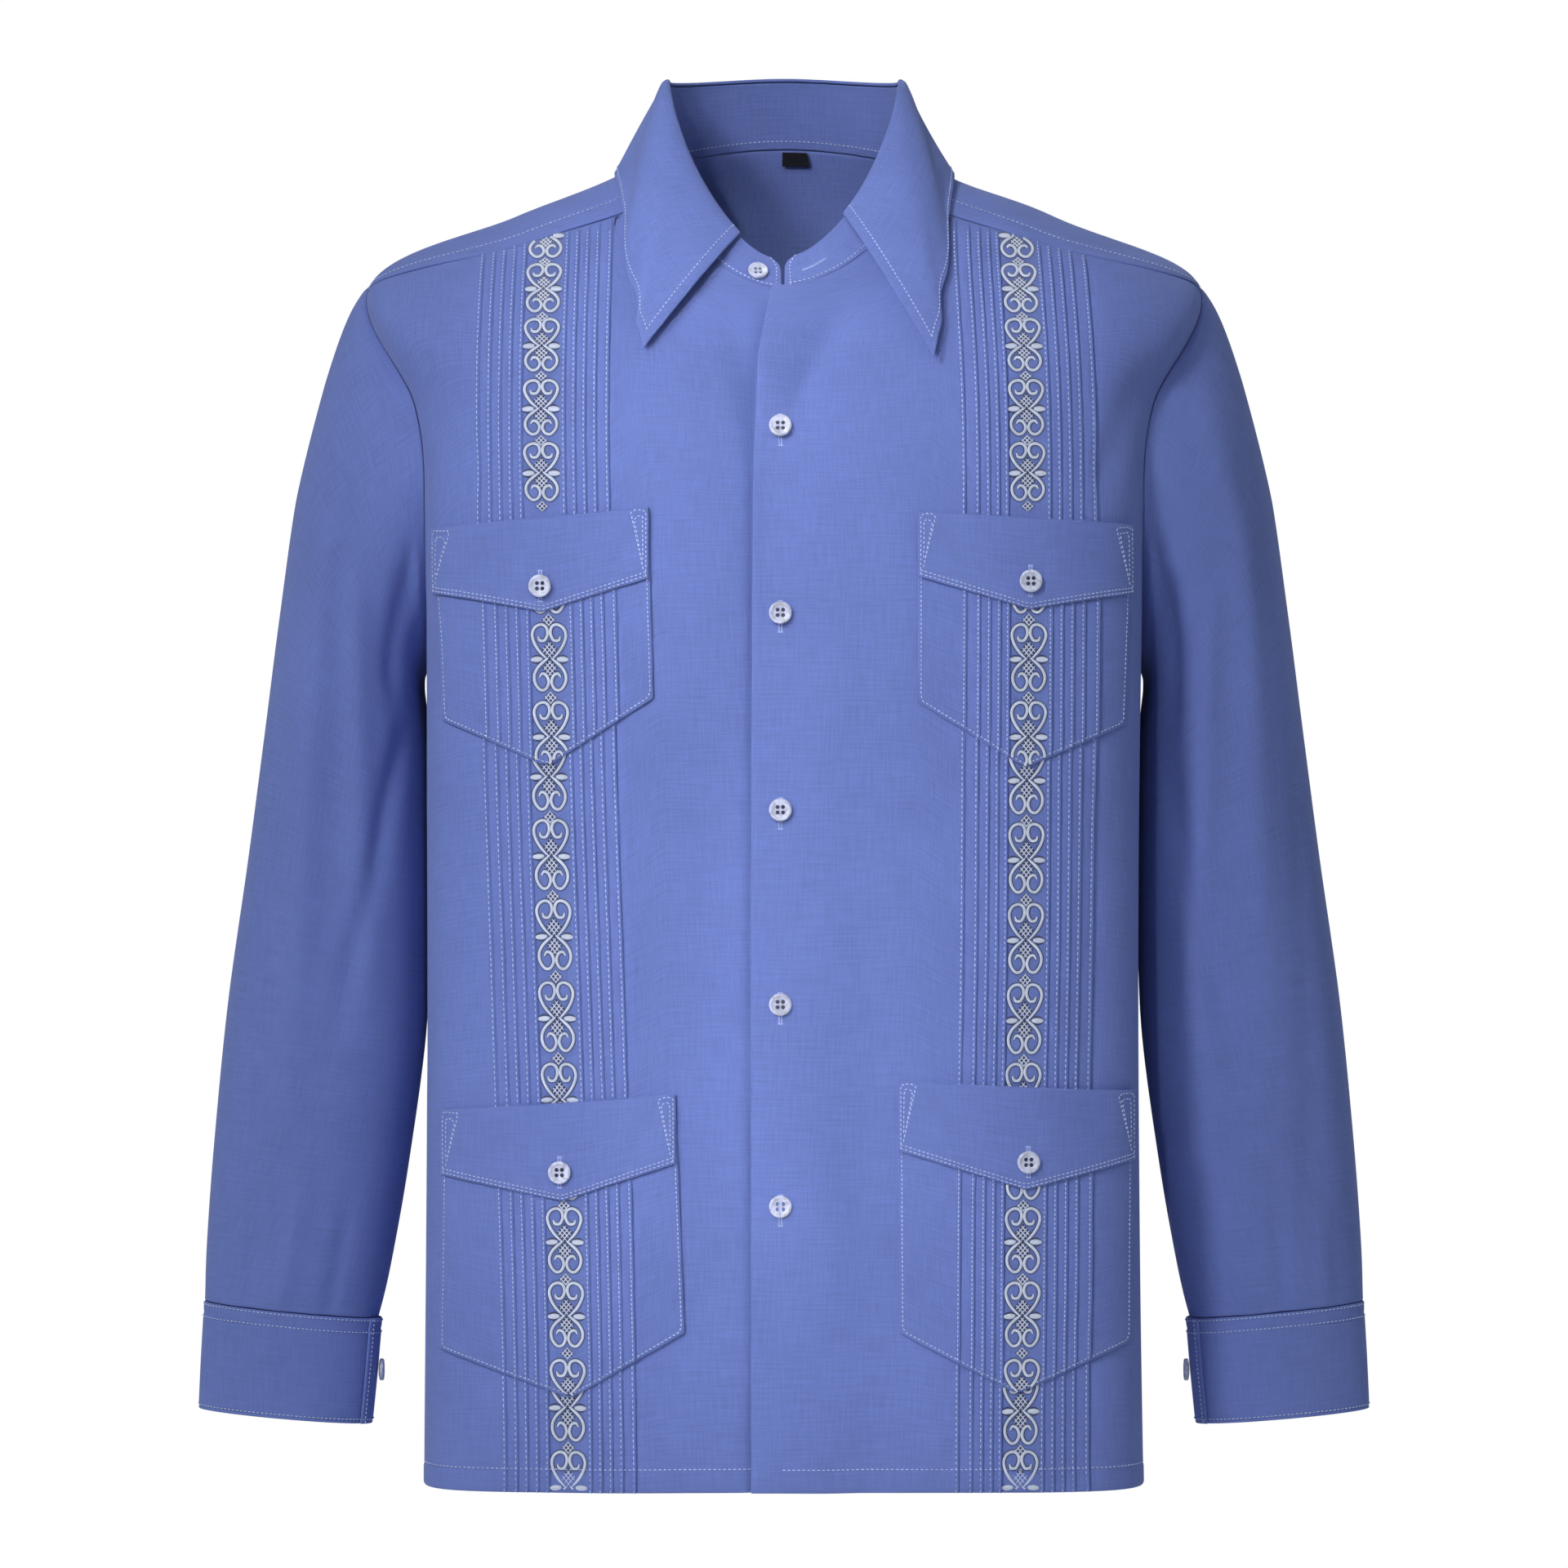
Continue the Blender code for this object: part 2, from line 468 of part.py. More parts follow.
def button(name, centre, axis, upward, radius=buttonRadius, segments=20):
    """Four-hole shirt button with a raised rim and a dished middle."""
    profile = np.array([(0.0, 0.0), (0.86, 0.0), (1.0, 0.30), (1.0, 0.72), (0.90, 1.0), (0.78, 0.98),
                        (0.64, 0.62), (0.0, 0.58)]) * (radius, buttonHeight)
    turn = np.linspace(0, 2 * np.pi, segments, endpoint=False)
    points, faces = [(0, 0, profile[0, 1])], []
    for r, h in profile[1:-1]:
        points += [(r * np.cos(a), r * np.sin(a), h) for a in turn]
    points.append((0, 0, profile[-1, 1]))
    rings = len(profile) - 2
    for k in range(segments):
        n = (k + 1) % segments
        faces.append((0, 1 + n, 1 + k))
        faces.append((len(points) - 1, 1 + (rings - 1) * segments + k, 1 + (rings - 1) * segments + n))
        for j in range(rings - 1):
            a, b = 1 + j * segments, 1 + (j + 1) * segments
            faces.append((a + k, a + n, b + n, b + k))
    node = addNode(name, points, faces, buttonPearl, 0.25)
    for k in range(4):
        a = np.pi / 4 + k * np.pi / 2
        bpy.ops.mesh.primitive_cylinder_add(vertices=8, radius=0.00075, depth=0.01,
                                            location=(0.0018 * np.cos(a), 0.0018 * np.sin(a), 0.001))
        cutter = bpy.context.object
        cut = node.modifiers.new("hole", "BOOLEAN")
        cut.operation, cut.solver, cut.object = "DIFFERENCE", "EXACT", cutter
        bpy.context.view_layer.objects.active = node
        bpy.ops.object.modifier_apply(modifier=cut.name)
        bpy.data.objects.remove(cutter, do_unlink=True)
    z = Vector(axis).normalized()
    x = Vector(upward).cross(z).normalized()
    place = Matrix((x, z.cross(x), z)).transposed().to_4x4()
    place.translation = Vector(centre)
    node.data.transform(place)
    return node


def buttonOnFront(name, x, z, lift):
    level, angle = frontSpot(np.array(x), np.array(z))
    normal = trunkNormal(level, angle)
    centre = trunkPoint(level, angle) + normal * (lift + 0.0005)
    button(name, centre, normal, (0, 0, 1))


frontPanel("front_left", 1)
frontPanel("front_right", -1)
backPanel()
yokeLevel, yokeAngle = yokeGrid(6)
trunkShell("yoke", yokeLevel, yokeAngle, 0.0, clothWall, ("low", "high", "start", "end"), gap=0.0004)
collarStand()
collarFall()
for side, word in ((1, "left"), (-1, "right")):
    sleeve("sleeve_" + word, side)
    cuff("cuff_" + word, side)
for word, values in pocketTable.items():
    side = 1 if word.endswith("left") else -1
    pocket("pocket_" + word, values, side, False)
    pocket("pocket_band_" + word, values, side, True)
    x, z = pocketButtons[word]
    flat = overlapLift(np.array(x)) if side > 0 else 0
    buttonOnFront("button_pocket_" + word, x, z, 2 * (layGap + pocketWall) + flat)
for k, z in enumerate(frontButtonZ):
    buttonOnFront("button_front_" + str(k + 1), -0.0020, z, float(overlapLift(np.array(0.0))))

standLevel = np.array(collarButton[1])
standAngle = angleAt(standLevel, np.array(collarButton[0]))
standNormal = trunkNormal(standLevel, standAngle)
button("button_collar", trunkPoint(standLevel, standAngle) + standNormal * 0.0005, standNormal, (0, 0, 1), 0.0055)

for side, word in ((1, "left"), (-1, "right")):
    values = smoothRows(cuffRows, np.array([1.0]))
    here = sleeveRing(values, np.array([178.0]))[0, 0]
    centre = here + np.array([-(clothWall + 2 * layGap + 0.0003), 0, 0])
    button("button_cuff_" + word, centre * (side, 1, 1), (-side, 0, 0), (0, 0, 1))

labelShare = np.linspace(0, 1, 3)
labelLevel = row["neck"] - np.array([[0.02], [0.11], [0.20]]) * np.ones(3)
labelX = -0.0010 + 0.0146 * labelShare
labelAngle = 180 - np.degrees(np.arctan2(labelX, 0.083)) * np.ones((3, 1))
trunkShell("size_label", labelLevel, labelAngle, -(clothWall + 2 * layGap), 0.001, (), labelBlack)
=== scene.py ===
import bpy
import numpy as np
from mathutils import Matrix, Vector


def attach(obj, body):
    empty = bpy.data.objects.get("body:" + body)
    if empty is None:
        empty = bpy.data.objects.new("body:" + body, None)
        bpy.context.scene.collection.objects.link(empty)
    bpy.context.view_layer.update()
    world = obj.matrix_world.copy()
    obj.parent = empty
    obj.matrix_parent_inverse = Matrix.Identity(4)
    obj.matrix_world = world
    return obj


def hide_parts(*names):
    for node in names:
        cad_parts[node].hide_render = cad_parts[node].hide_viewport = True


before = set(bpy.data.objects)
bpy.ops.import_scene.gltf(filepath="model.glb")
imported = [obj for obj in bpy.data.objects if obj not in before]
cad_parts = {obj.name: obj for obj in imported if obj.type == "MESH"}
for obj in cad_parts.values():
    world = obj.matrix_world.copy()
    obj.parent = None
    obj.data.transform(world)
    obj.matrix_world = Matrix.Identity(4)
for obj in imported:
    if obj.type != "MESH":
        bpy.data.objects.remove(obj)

for spare in ("Cube", "Light", "Camera"):     # what a new file starts with
    if spare in bpy.data.objects:
        bpy.data.objects.remove(bpy.data.objects[spare], do_unlink=True)
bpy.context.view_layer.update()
print("frame loaded:", len(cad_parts), "CAD nodes")

# camera, floor and light
view = {"distance": 3.5, "height": -0.352, "width": 0.8889, "floorDrop": 0.30, "floorRadius": 1.25}
cameraData = bpy.data.cameras.new("camera")
cameraData.sensor_width = 36
cameraData.lens = 36 * view["distance"] / view["width"]
cameraData.clip_end = 60
camera = bpy.data.objects.new("camera", cameraData)
camera.location = (0, -view["distance"], view["height"])
camera.rotation_euler = (np.pi / 2, 0, 0)
bpy.context.scene.collection.objects.link(camera)
bpy.context.scene.camera = camera
bpy.context.scene.view_settings.view_transform = "Standard"

studio = {"ambient": 0.33, "sky": (0.88, 0.94, 1.0),
          "key": {"power": 62.0, "place": (-1.9, -2.7, 1.7), "aim": (0, 0, -0.3), "size": 0.7},
          "fill": {"power": 2.0, "place": (2.4, -2.6, 0.3), "aim": (0, 0, -0.3), "size": 1.6},
          "window": {"power": 0.37, "place": (-0.75, -2.9, 0.75), "aim": (0, -0.05, -0.36),   # a narrow soft box
                     "size": 0.26, "tall": 0.74, "spread": 7.0}}
world = bpy.data.worlds.new("studio")
world.use_nodes = True
sky = world.node_tree
soft, seen, choose, rays = sky.nodes["Background"], sky.nodes.new("ShaderNodeBackground"), \
    sky.nodes.new("ShaderNodeMixShader"), sky.nodes.new("ShaderNodeLightPath")
soft.inputs["Color"].default_value = (*studio["sky"], 1)
soft.inputs["Strength"].default_value = studio["ambient"]
seen.inputs["Color"].default_value = (1, 1, 1, 1)
for source, target in ((rays.outputs["Is Camera Ray"], choose.inputs[0]), (soft.outputs[0], choose.inputs[1]),
                       (seen.outputs[0], choose.inputs[2]),
                       (choose.outputs[0], sky.nodes["World Output"].inputs["Surface"])):
    sky.links.new(source, target)
bpy.context.scene.world = world

for name in ("key", "fill", "window"):
    given = studio[name]
    lampData = bpy.data.lights.new(name + "Lamp", "AREA")
    lampData.shape, lampData.size, lampData.energy = "DISK", given["size"], given["power"]
    if "tall" in given:
        lampData.shape, lampData.size_y, lampData.spread = "RECTANGLE", given["tall"], np.radians(given["spread"])
    lamp = bpy.data.objects.new(name + "Lamp", lampData)
    lamp.location = given["place"]
    lamp.rotation_euler = (Vector(given["aim"]) - Vector(given["place"])).to_track_quat("-Z", "Y").to_euler()
    bpy.context.scene.collection.objects.link(lamp)

floorMesh = bpy.data.meshes.new("floor")
turn = np.linspace(0, 2 * np.pi, 65)[:-1]
floorMesh.from_pydata([(view["floorRadius"] * np.cos(a), view["floorRadius"] * np.sin(a), -0.741 - view["floorDrop"])
                       for a in turn], [], [tuple(range(64))])
floor = bpy.data.objects.new("floor", floorMesh)
bpy.context.scene.collection.objects.link(floor)
floorPaint = bpy.data.materials.new("paleFloor")
floorPaint.use_nodes = True
floorShader = floorPaint.node_tree.nodes["Principled BSDF"]
floorShader.inputs["Base Color"].default_value = (0.93, 0.935, 0.95, 1)
floorShader.inputs["Roughness"].default_value = 0.9
floorMesh.materials.append(floorPaint)

# the form of the trunk, the same rings that the CAD pieces follow
clothWall, pocketWall, layGap = 0.0014, 0.0012, 0.0006
overlapHalf, hemZ = 0.018, -0.741
ringTable = {   # halfWidth, sideZ, frontY, frontZ, backY, backZ, squareFront, squareBack, blend
    "hem":      (0.2010, hemZ,   0.1130, hemZ,    0.1040, hemZ,   6.0, 5.0, 2.0),
    "seat":     (0.2000, -0.620, 0.1160, -0.620,  0.1070, -0.620, 6.0, 5.0, 2.0),
    "hip":      (0.1992, -0.500, 0.1180, -0.500,  0.1080, -0.500, 6.0, 5.0, 2.0),
    "waist":    (0.1990, -0.390, 0.1200, -0.390,  0.1070, -0.390, 6.0, 4.8, 2.0),
    "underarm": (0.1992, -0.290, 0.1240, -0.290,  0.1080, -0.290, 5.8, 4.5, 2.0),
    "chest":    (0.2010, -0.205, 0.1250, -0.205,  0.1100, -0.205, 5.4, 4.2, 2.0),
    "armhole":  (0.2090, -0.135, 0.1190, -0.157,  0.1090, -0.140, 4.6, 3.8, 2.0),
    "tip":      (0.2330, -0.069, 0.1080, -0.119,  0.1030, -0.082, 3.3, 3.0, 2.0),
    "shoulder": (0.1520, -0.031, 0.0990, -0.095,  0.0900, -0.030, 2.5, 2.5, 2.0),
    "neck":     (0.0830, -0.001, 0.0910, -0.078,  0.0740, 0.0150, 2.2, 2.3, 2.0),
    "fold":     (0.0660, 0.0450, 0.0760, -0.0610, 0.0670, 0.0530, 2.4, 2.8, 1.9),
}
ringRows = np.array(list(ringTable.values()))
row = {name: float(i) for i, name in enumerate(ringTable)}
armhole = {"top": row["tip"], "bottom": row["underarm"] + 0.05, "frontDip": 33.0, "backDip": 30.0}
yokeSeam = {"neck": (9.0, 57.0), "by the neck": (8.62, 57.3), "a third": (8.22, 58.0), "half": (7.86, 59.2),
            "two thirds": (7.52, 61.6), "outer": (7.20, 67.0), "armhole": (6.911, 78.713)}
seamTip, seamBack = 20.0, -37.0


def smoothRows(rows, at):
    at = np.clip(np.asarray(at, float), 0, len(rows) - 1)
    i = np.minimum(at.astype(int), len(rows) - 2)
    f = (at - i)[..., None]
    before, here, there, after = (rows[np.clip(i + k, 0, len(rows) - 1)] for k in (-1, 0, 1, 2))
    return here + 0.5 * f * (there - before + f * (
        2 * before - 5 * here + 4 * there - after + f * (3 * (here - there) + after - before)))


def trunkPoint(level, angle):   # angle 0 is centre front, 90 the wearer's left side
    v = smoothRows(ringRows, level)
    half, sideZ, frontY, frontZ, backY, backZ, squareF, squareB, blend = np.moveaxis(v, -1, 0)
    a = np.radians(angle)
    s, c = np.sin(a), np.cos(a)
    front = c >= 0
    n = np.where(front, squareF, squareB)
    r = (np.abs(s) ** n + np.abs(c) ** n) ** (-1 / n)
    y = np.where(front, -frontY * c * r, -backY * c * r)
    z = sideZ + np.where(front, frontZ - sideZ, backZ - sideZ) * np.abs(c) ** blend
    return np.stack(np.broadcast_arrays(half * s * r, y, z), -1)


def unit(v):
    return v / np.maximum(np.linalg.norm(v, axis=-1, keepdims=True), 1e-12)


def ease(share):   # 0 to 1 with soft ends
    share = np.clip(share, 0, 1)
    return share * share * (3 - 2 * share)


def steps(points, axis=0):   # distances from each point to the next
    return np.linalg.norm(np.diff(points, axis=axis), axis=-1)


def runOf(points):   # distance along a path
    return np.r_[0, np.cumsum(steps(points))]


def trunkNormal(level, angle):
    e = 4e-3
    along = trunkPoint(level, angle + 0.2) - trunkPoint(level, angle - 0.2)
    up = trunkPoint(level + e, angle) - trunkPoint(level - e, angle)
    return unit(np.cross(along, up))


def angleAt(level, x, square=6):   # where the front of the ring passes x, or the back with square 7
    v = smoothRows(ringRows, level)
    share, n = np.clip(np.abs(x) / v[..., 0], 0, 0.9999), v[..., square]
    return np.sign(x) * np.degrees(np.arctan2(share, (1 - share ** n) ** (1 / n)))


def frontSpot(x, z):   # ring row and angle of the front where it is at (x, z)
    x, z = np.broadcast_arrays(np.asarray(x, float), np.asarray(z, float))
    low, high = np.zeros(x.shape), np.full(x.shape, row["neck"])
    for _ in range(24):
        level = (low + high) / 2
        below = trunkPoint(level, angleAt(level, x))[..., 2] < z
        low, high = np.where(below, level, low), np.where(below, high, level)
    return level, angleAt(level, x)


def overlapLift(x):   # the wearer's left front lies over the right one
    return (clothWall + 0.0009) * (1 - ease((x - overlapHalf - 0.001) / 0.026))


def overEdge(z):
    return np.interp(z, (-0.40, -0.19, -0.12, -0.088, -0.077), (-0.0180, -0.0169, -0.0143, -0.0089, -0.0067))


armholeMiddle, armholeReach = (armhole["top"] + armhole["bottom"]) / 2, (armhole["top"] - armhole["bottom"]) / 2


def armholeAngle(level, front=True):
    across = np.sqrt(np.clip(1 - ((level - armholeMiddle) / armholeReach) ** 2, 0, 1))
    across = np.where(level < armhole["bottom"], 0, across)
    return 90 - armhole["frontDip"] * across if front else 90 + armhole["backDip"] * across


def armholePoint(turn):
    s, c = np.sin(np.radians(turn)), np.cos(np.radians(turn))
    return armholeMiddle + armholeReach * c, 90 - np.where(s > 0, armhole["frontDip"], armhole["backDip"]) * s


def yokeFront(share):
    knots = np.array(list(yokeSeam.values()))
    spot = smoothRows(knots, np.asarray(share, float) * (len(knots) - 1))
    return spot[..., 0], spot[..., 1]


# soft folds in the cloth: start, end, half width, height (+ ridge, - trough)
frontFolds = {   # wearer's right front has x below 0
    "right armhole upper":  (-0.205, -0.105, -0.168, -0.190, 0.009, -0.0022),
    "right armhole middle": (-0.200, -0.150, -0.182, -0.260, 0.008, 0.0016),
    "right chest":          (-0.060, -0.130, -0.052, -0.330, 0.020, 0.0015),
    "right centre long":    (-0.045, -0.330, -0.040, -0.700, 0.018, -0.0016),
    "right side long":      (-0.178, -0.360, -0.182, -0.520, 0.012, -0.0018),
    "right by the stand":   (-0.030, -0.088, -0.014, -0.165, 0.010, -0.0030),
    "right under the leaf": (-0.060, -0.120, -0.030, -0.250, 0.014, 0.0018),
    "left by the stand":    (0.034, -0.088, 0.006, -0.150, 0.010, -0.0026),
    "right hem":            (-0.095, -0.600, -0.100, -0.741, 0.022, 0.0020),
    "left armhole upper":   (0.206, -0.110, 0.172, -0.190, 0.009, -0.0024),
    "left chest":           (0.058, -0.120, 0.066, -0.360, 0.022, 0.0018),
    "left centre long":     (0.050, -0.300, 0.046, -0.741, 0.016, -0.0020),
    "left side long":       (0.176, -0.350, 0.170, -0.540, 0.012, -0.0022),
    "left hem":             (0.100, -0.620, 0.098, -0.741, 0.024, 0.0018),
    "left hem side":        (0.160, -0.640, 0.165, -0.741, 0.016, -0.0018),
}


def foldHeight(folds, x, z):
    total = np.zeros(np.broadcast(x, z).shape)
    for x0, z0, x1, z1, width, height in folds.values():
        dx, dz = x1 - x0, z1 - z0
        length = np.hypot(dx, dz)
        along = ((x - x0) * dx + (z - z0) * dz) / length ** 2
        off = ((x - x0) * dz - (z - z0) * dx) / length
        total += height * np.exp(-(off / width) ** 2) * ease(np.minimum(along + 0.12, 1.12 - along) / 0.30)
    return total


def seamLevel(angle):   # ring row of the front yoke seam, or of the neck, at an angle
    level, at = yokeFront(np.linspace(0, 1, 40))
    return np.interp(np.abs(angle), at, level)


def frontDrape(level, angle, x, z):   # soft folds, let out before the seams
    wave = 0.0007 * np.sin(x * 52 + 1.3 * np.sin(z * 9)) + 0.0005 * np.sin(x * 23 - z * 11 + 0.7)
    calm = np.clip((-z - 0.10) / 0.15, 0, 1)
    fade = ease((armholeAngle(level) - np.abs(angle)) / 7.0) * ease((seamLevel(angle) - level) / 0.5)
    return (foldHeight(frontFolds, x, z) + wave * calm) * fade


openNeck = {"lip": 0.0095, "lowLip": 0.0022, "full": -0.108, "low": -0.185, "end": -0.300, "top": -0.0800,
            "wide": 0.040, "narrow": 0.007, "dip": 0.0055, "lowDip": 0.0026, "hemDip": 0.0018}


def edgeLip(x, z):   # the upper front stands up along its edge below the neck, and rolls back to the chest
    off = x - overEdge(z)
    high = np.interp(z, (openNeck["end"], openNeck["low"], openNeck["full"], openNeck["top"]),
                     (0.0, openNeck["lowLip"], openNeck["lip"], 0.0008))
    reach = np.interp(z, (openNeck["low"], openNeck["top"]), (openNeck["narrow"], openNeck["wide"]))
    return high * np.clip(1 - np.abs(off) / reach, 0, 1)


def edgeDip(x, z):   # the lower front falls away towards that edge
    off = x - overEdge(z)
    deep = np.interp(z, (hemZ, -0.200, -0.140, -0.100, -0.083),
                     (openNeck["hemDip"], openNeck["lowDip"], 0.9 * openNeck["dip"], openNeck["dip"], 0.0))
    wide = np.interp(z, (-0.20, -0.12), (0.0038, 0.0070))
    return -deep * np.where(off < 0, np.exp(np.minimum(off, 0) / wide), np.exp(-np.maximum(off, 0) / 0.014))


def onFront(level, angle, extra=0.0, over=None):   # outer face of the fronts; over is true on the upper layer
    base, normal = trunkPoint(level, angle), trunkNormal(level, angle)
    x, z = base[..., 0], base[..., 2]
    over = x > overEdge(z) if over is None else over
    high = extra + frontDrape(level, angle, x, z)
    high = high + np.where(over, overlapLift(x) + edgeLip(x, z), edgeDip(x, z))
    return base + normal * high[..., None], normal


def frontSurface(x, z, extra=0.0, over=None):
    level, angle = frontSpot(x, z)
    return onFront(level, angle, extra, over)


# mesh making
def linkMesh(name, mesh, stuff):
    piece = bpy.data.objects.new(name, mesh)
    bpy.context.scene.collection.objects.link(piece)
    mesh.materials.append(stuff)
    return piece


def meshOf(name, points, quads, uv):   # the cloth map is in metres
    mesh = bpy.data.meshes.new(name)
    mesh.vertices.add(len(points))
    mesh.vertices.foreach_set("co", np.ascontiguousarray(points, np.float32).ravel())
    sides = quads.shape[1]
    mesh.loops.add(quads.size)
    mesh.loops.foreach_set("vertex_index", np.ascontiguousarray(quads, np.int32).ravel())
    mesh.polygons.add(len(quads))
    mesh.polygons.foreach_set("loop_start", np.arange(0, quads.size, sides, dtype=np.int32))
    mesh.update(calc_edges=True)
    layer = mesh.uv_layers.new(name="cloth")
    layer.data.foreach_set("uv", np.ascontiguousarray(uv[quads.ravel()], np.float32).ravel())
    mesh.shade_smooth()
    return mesh


def quadGrid(rows, columns, ring=False, start=0):
    index = np.arange(rows * columns).reshape(rows, columns) + start
    return np.concatenate([index, index[:, :1]], 1) if ring else index


def quads(a, b, c, d):
    return np.stack([a, b, c, d], -1).reshape(-1, 4)


def gridQuads(index):
    return quads(index[:-1, :-1], index[:-1, 1:], index[1:, 1:], index[1:, :-1])


def gridNormal(grid, ring=False):
    across = np.roll(grid, -1, 1) - np.roll(grid, 1, 1) if ring else np.gradient(grid, axis=1)
    return unit(np.cross(across, np.gradient(grid, axis=0)))


def edgeRows(grid, reach):   # a row just inside each end, so that the rim stays crisp
    def inside(edge, after):
        step = np.linalg.norm(after - edge, axis=-1, keepdims=True)
        return (edge + (after - edge) * np.minimum(reach / np.maximum(step, 1e-9), 0.5))[None]

    return np.concatenate([grid[:1], inside(grid[0], grid[1]), grid[1:-1], inside(grid[-1], grid[-2]), grid[-1:]])


def clothShell(name, outer, normal, wall, stuff, ring=False, inner=None, rim=0.00098):
    both = np.concatenate([outer, outer - normal * wall if inner is None else inner], -1)
    both = edgeRows(both, rim)
    if not ring:
        both = edgeRows(both.swapaxes(0, 1), rim).swapaxes(0, 1)
    outer, inner = both[..., :3].copy(), both[..., 3:].copy()
    middle = (outer + inner) / 2
    for part in (outer, inner):      # the rim is a little thinner than the cloth
        for edge in (0, -1):
            part[edge] = part[edge] * 0.6 + middle[edge] * 0.4
            if not ring:
                part[:, edge] = part[:, edge] * 0.6 + middle[:, edge] * 0.4
    rows, columns = outer.shape[:2]
    top = quadGrid(rows, columns, ring)
    under = top + rows * columns
    faces = [gridQuads(top), gridQuads(under.T), quads(top[0, :-1], under[0, :-1], under[0, 1:], top[0, 1:]),
             quads(top[-1, :-1], top[-1, 1:], under[-1, 1:], under[-1, :-1])]
    if not ring:
        faces += [quads(top[:-1, 0], top[1:, 0], under[1:, 0], under[:-1, 0]),
                  quads(top[:-1, -1], under[:-1, -1], under[1:, -1], top[1:, -1])]
    faces = np.concatenate(faces)
    points = np.concatenate([outer.reshape(-1, 3), inner.reshape(-1, 3)])
    a, b, c, d = (points[faces[:, k]] for k in range(4))
    if (np.cross(b - a, c - a) * a).sum() + (np.cross(c - a, d - a) * a).sum() < 0:
        faces = faces[:, ::-1]
    # cloth distances from the middle of the piece, along the weft and the warp
    u = np.concatenate([np.zeros((rows, 1)), np.cumsum(steps(outer, 1), 1)], 1)
    u -= u[:, [columns // 2]]
    v = np.concatenate([[0], np.cumsum(steps(outer).mean(1))])[:, None] * np.ones(columns)
    uv = np.stack([u, v], -1).reshape(-1, 2)
    return linkMesh(name, meshOf(name, points, faces, np.concatenate([uv, uv + 0.00025])), stuff)


def settle(piece, slot, *nodes):
    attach(piece, "root")
    if nodes:
        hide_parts(*nodes)


# finishes
def newMaterial(name, mapped=True):   # patterns follow the cloth map, or the object where there is none
    stuff = bpy.data.materials.new(name)
    stuff.use_nodes = True
    tree = stuff.node_tree
    if not mapped:
        return stuff, tree, tree.nodes["Principled BSDF"], tree.nodes.new("ShaderNodeTexCoord").outputs["Object"]
    place = tree.nodes.new("ShaderNodeUVMap")
    place.uv_map = "cloth"
    return stuff, tree, tree.nodes["Principled BSDF"], place.outputs[0]


def mathNode(tree, kind, *values):
    node = tree.nodes.new("ShaderNodeMath")
    node.operation = kind
    for socket, value in zip(node.inputs, values):
        if hasattr(value, "is_linked"):
            tree.links.new(value, socket)
        else:
            socket.default_value = value
    return node.outputs[0]


def threads(tree, place, axis, pitch):   # a wave across the threads
    split = tree.nodes.new("ShaderNodeSeparateXYZ")
    tree.links.new(place, split.inputs[0])
    return mathNode(tree, "SINE", mathNode(tree, "MULTIPLY", split.outputs[axis], 2 * np.pi / pitch))


def noiseNode(tree, place, scale, detail=2.0, distortion=0.0, stretch=None):
    noise = tree.nodes.new("ShaderNodeTexNoise")
    for label, value in (("Scale", scale), ("Detail", detail), ("Distortion", distortion)):
        noise.inputs[label].default_value = value
    if stretch:
        mapping = tree.nodes.new("ShaderNodeMapping")
        mapping.inputs["Scale"].default_value = stretch
        tree.links.new(place, mapping.inputs[0])
        place = mapping.outputs[0]
    tree.links.new(place, noise.inputs["Vector"])
    return noise.outputs[0]


def colourBy(tree, shader, value, spots, dark, light):
    ramp = tree.nodes.new("ShaderNodeValToRGB")
    for end, spot, colour in zip(ramp.color_ramp.elements, spots, (dark, light)):
        end.position, end.color = spot, (*np.minimum(colour, 1), 1)
    tree.links.new(value, ramp.inputs[0])
    tree.links.new(ramp.outputs[0], shader.inputs["Base Color"])


def raiseBy(tree, shader, value, strength, depth):
    bump = tree.nodes.new("ShaderNodeBump")
    bump.inputs["Strength"].default_value, bump.inputs["Distance"].default_value = strength, depth
    tree.links.new(value, bump.inputs["Height"])
    tree.links.new(bump.outputs[0], shader.inputs["Normal"])


def setFinish(shader, finish):
    for label, value in finish.items():
        shader.inputs[label].default_value = value


poplin = {"colour": (0.145, 0.201, 0.525), "shade": 0.14, "threadPitch": 0.00064, "slub": 0.20, "roughness": 0.82,
          "sheen": 0.22, "weaveDepth": 0.00012}


def makePoplin(name, settings):
    stuff, tree, shader, place = newMaterial(name)
    weave = mathNode(tree, "MULTIPLY", *(threads(tree, place, axis, 2 * settings["threadPitch"]) for axis in (0, 1)))
    slubWarp, slubWeft, cloudy = (noiseNode(tree, place, 1.0, 3.0, stretch=stretch)
                                  for stretch in ((900, 60, 1), (44, 850, 1), (16, 12, 1)))
    slubs = mathNode(tree, "ADD", slubWarp, slubWeft)
    shade = mathNode(tree, "ADD", mathNode(tree, "MULTIPLY", slubs, settings["slub"]),
                     mathNode(tree, "MULTIPLY", cloudy, settings["shade"]))
    middle, colour = settings["slub"] + settings["shade"] * 0.5, np.array(settings["colour"])
    colourBy(tree, shader, shade, (middle - 0.10, middle + 0.10), colour * 0.82, colour * 1.16)
    height = mathNode(tree, "ADD", mathNode(tree, "MULTIPLY", weave, 0.35), mathNode(tree, "MULTIPLY", slubs, 2.2))
    raiseBy(tree, shader, height, 0.55, settings["weaveDepth"])
    setFinish(shader, {"Roughness": settings["roughness"], "Sheen Weight": settings["sheen"], "Sheen Roughness": 0.5,
                       "Sheen Tint": (0.62, 0.70, 1.0, 1), "Specular IOR Level": 0.25})
    return stuff


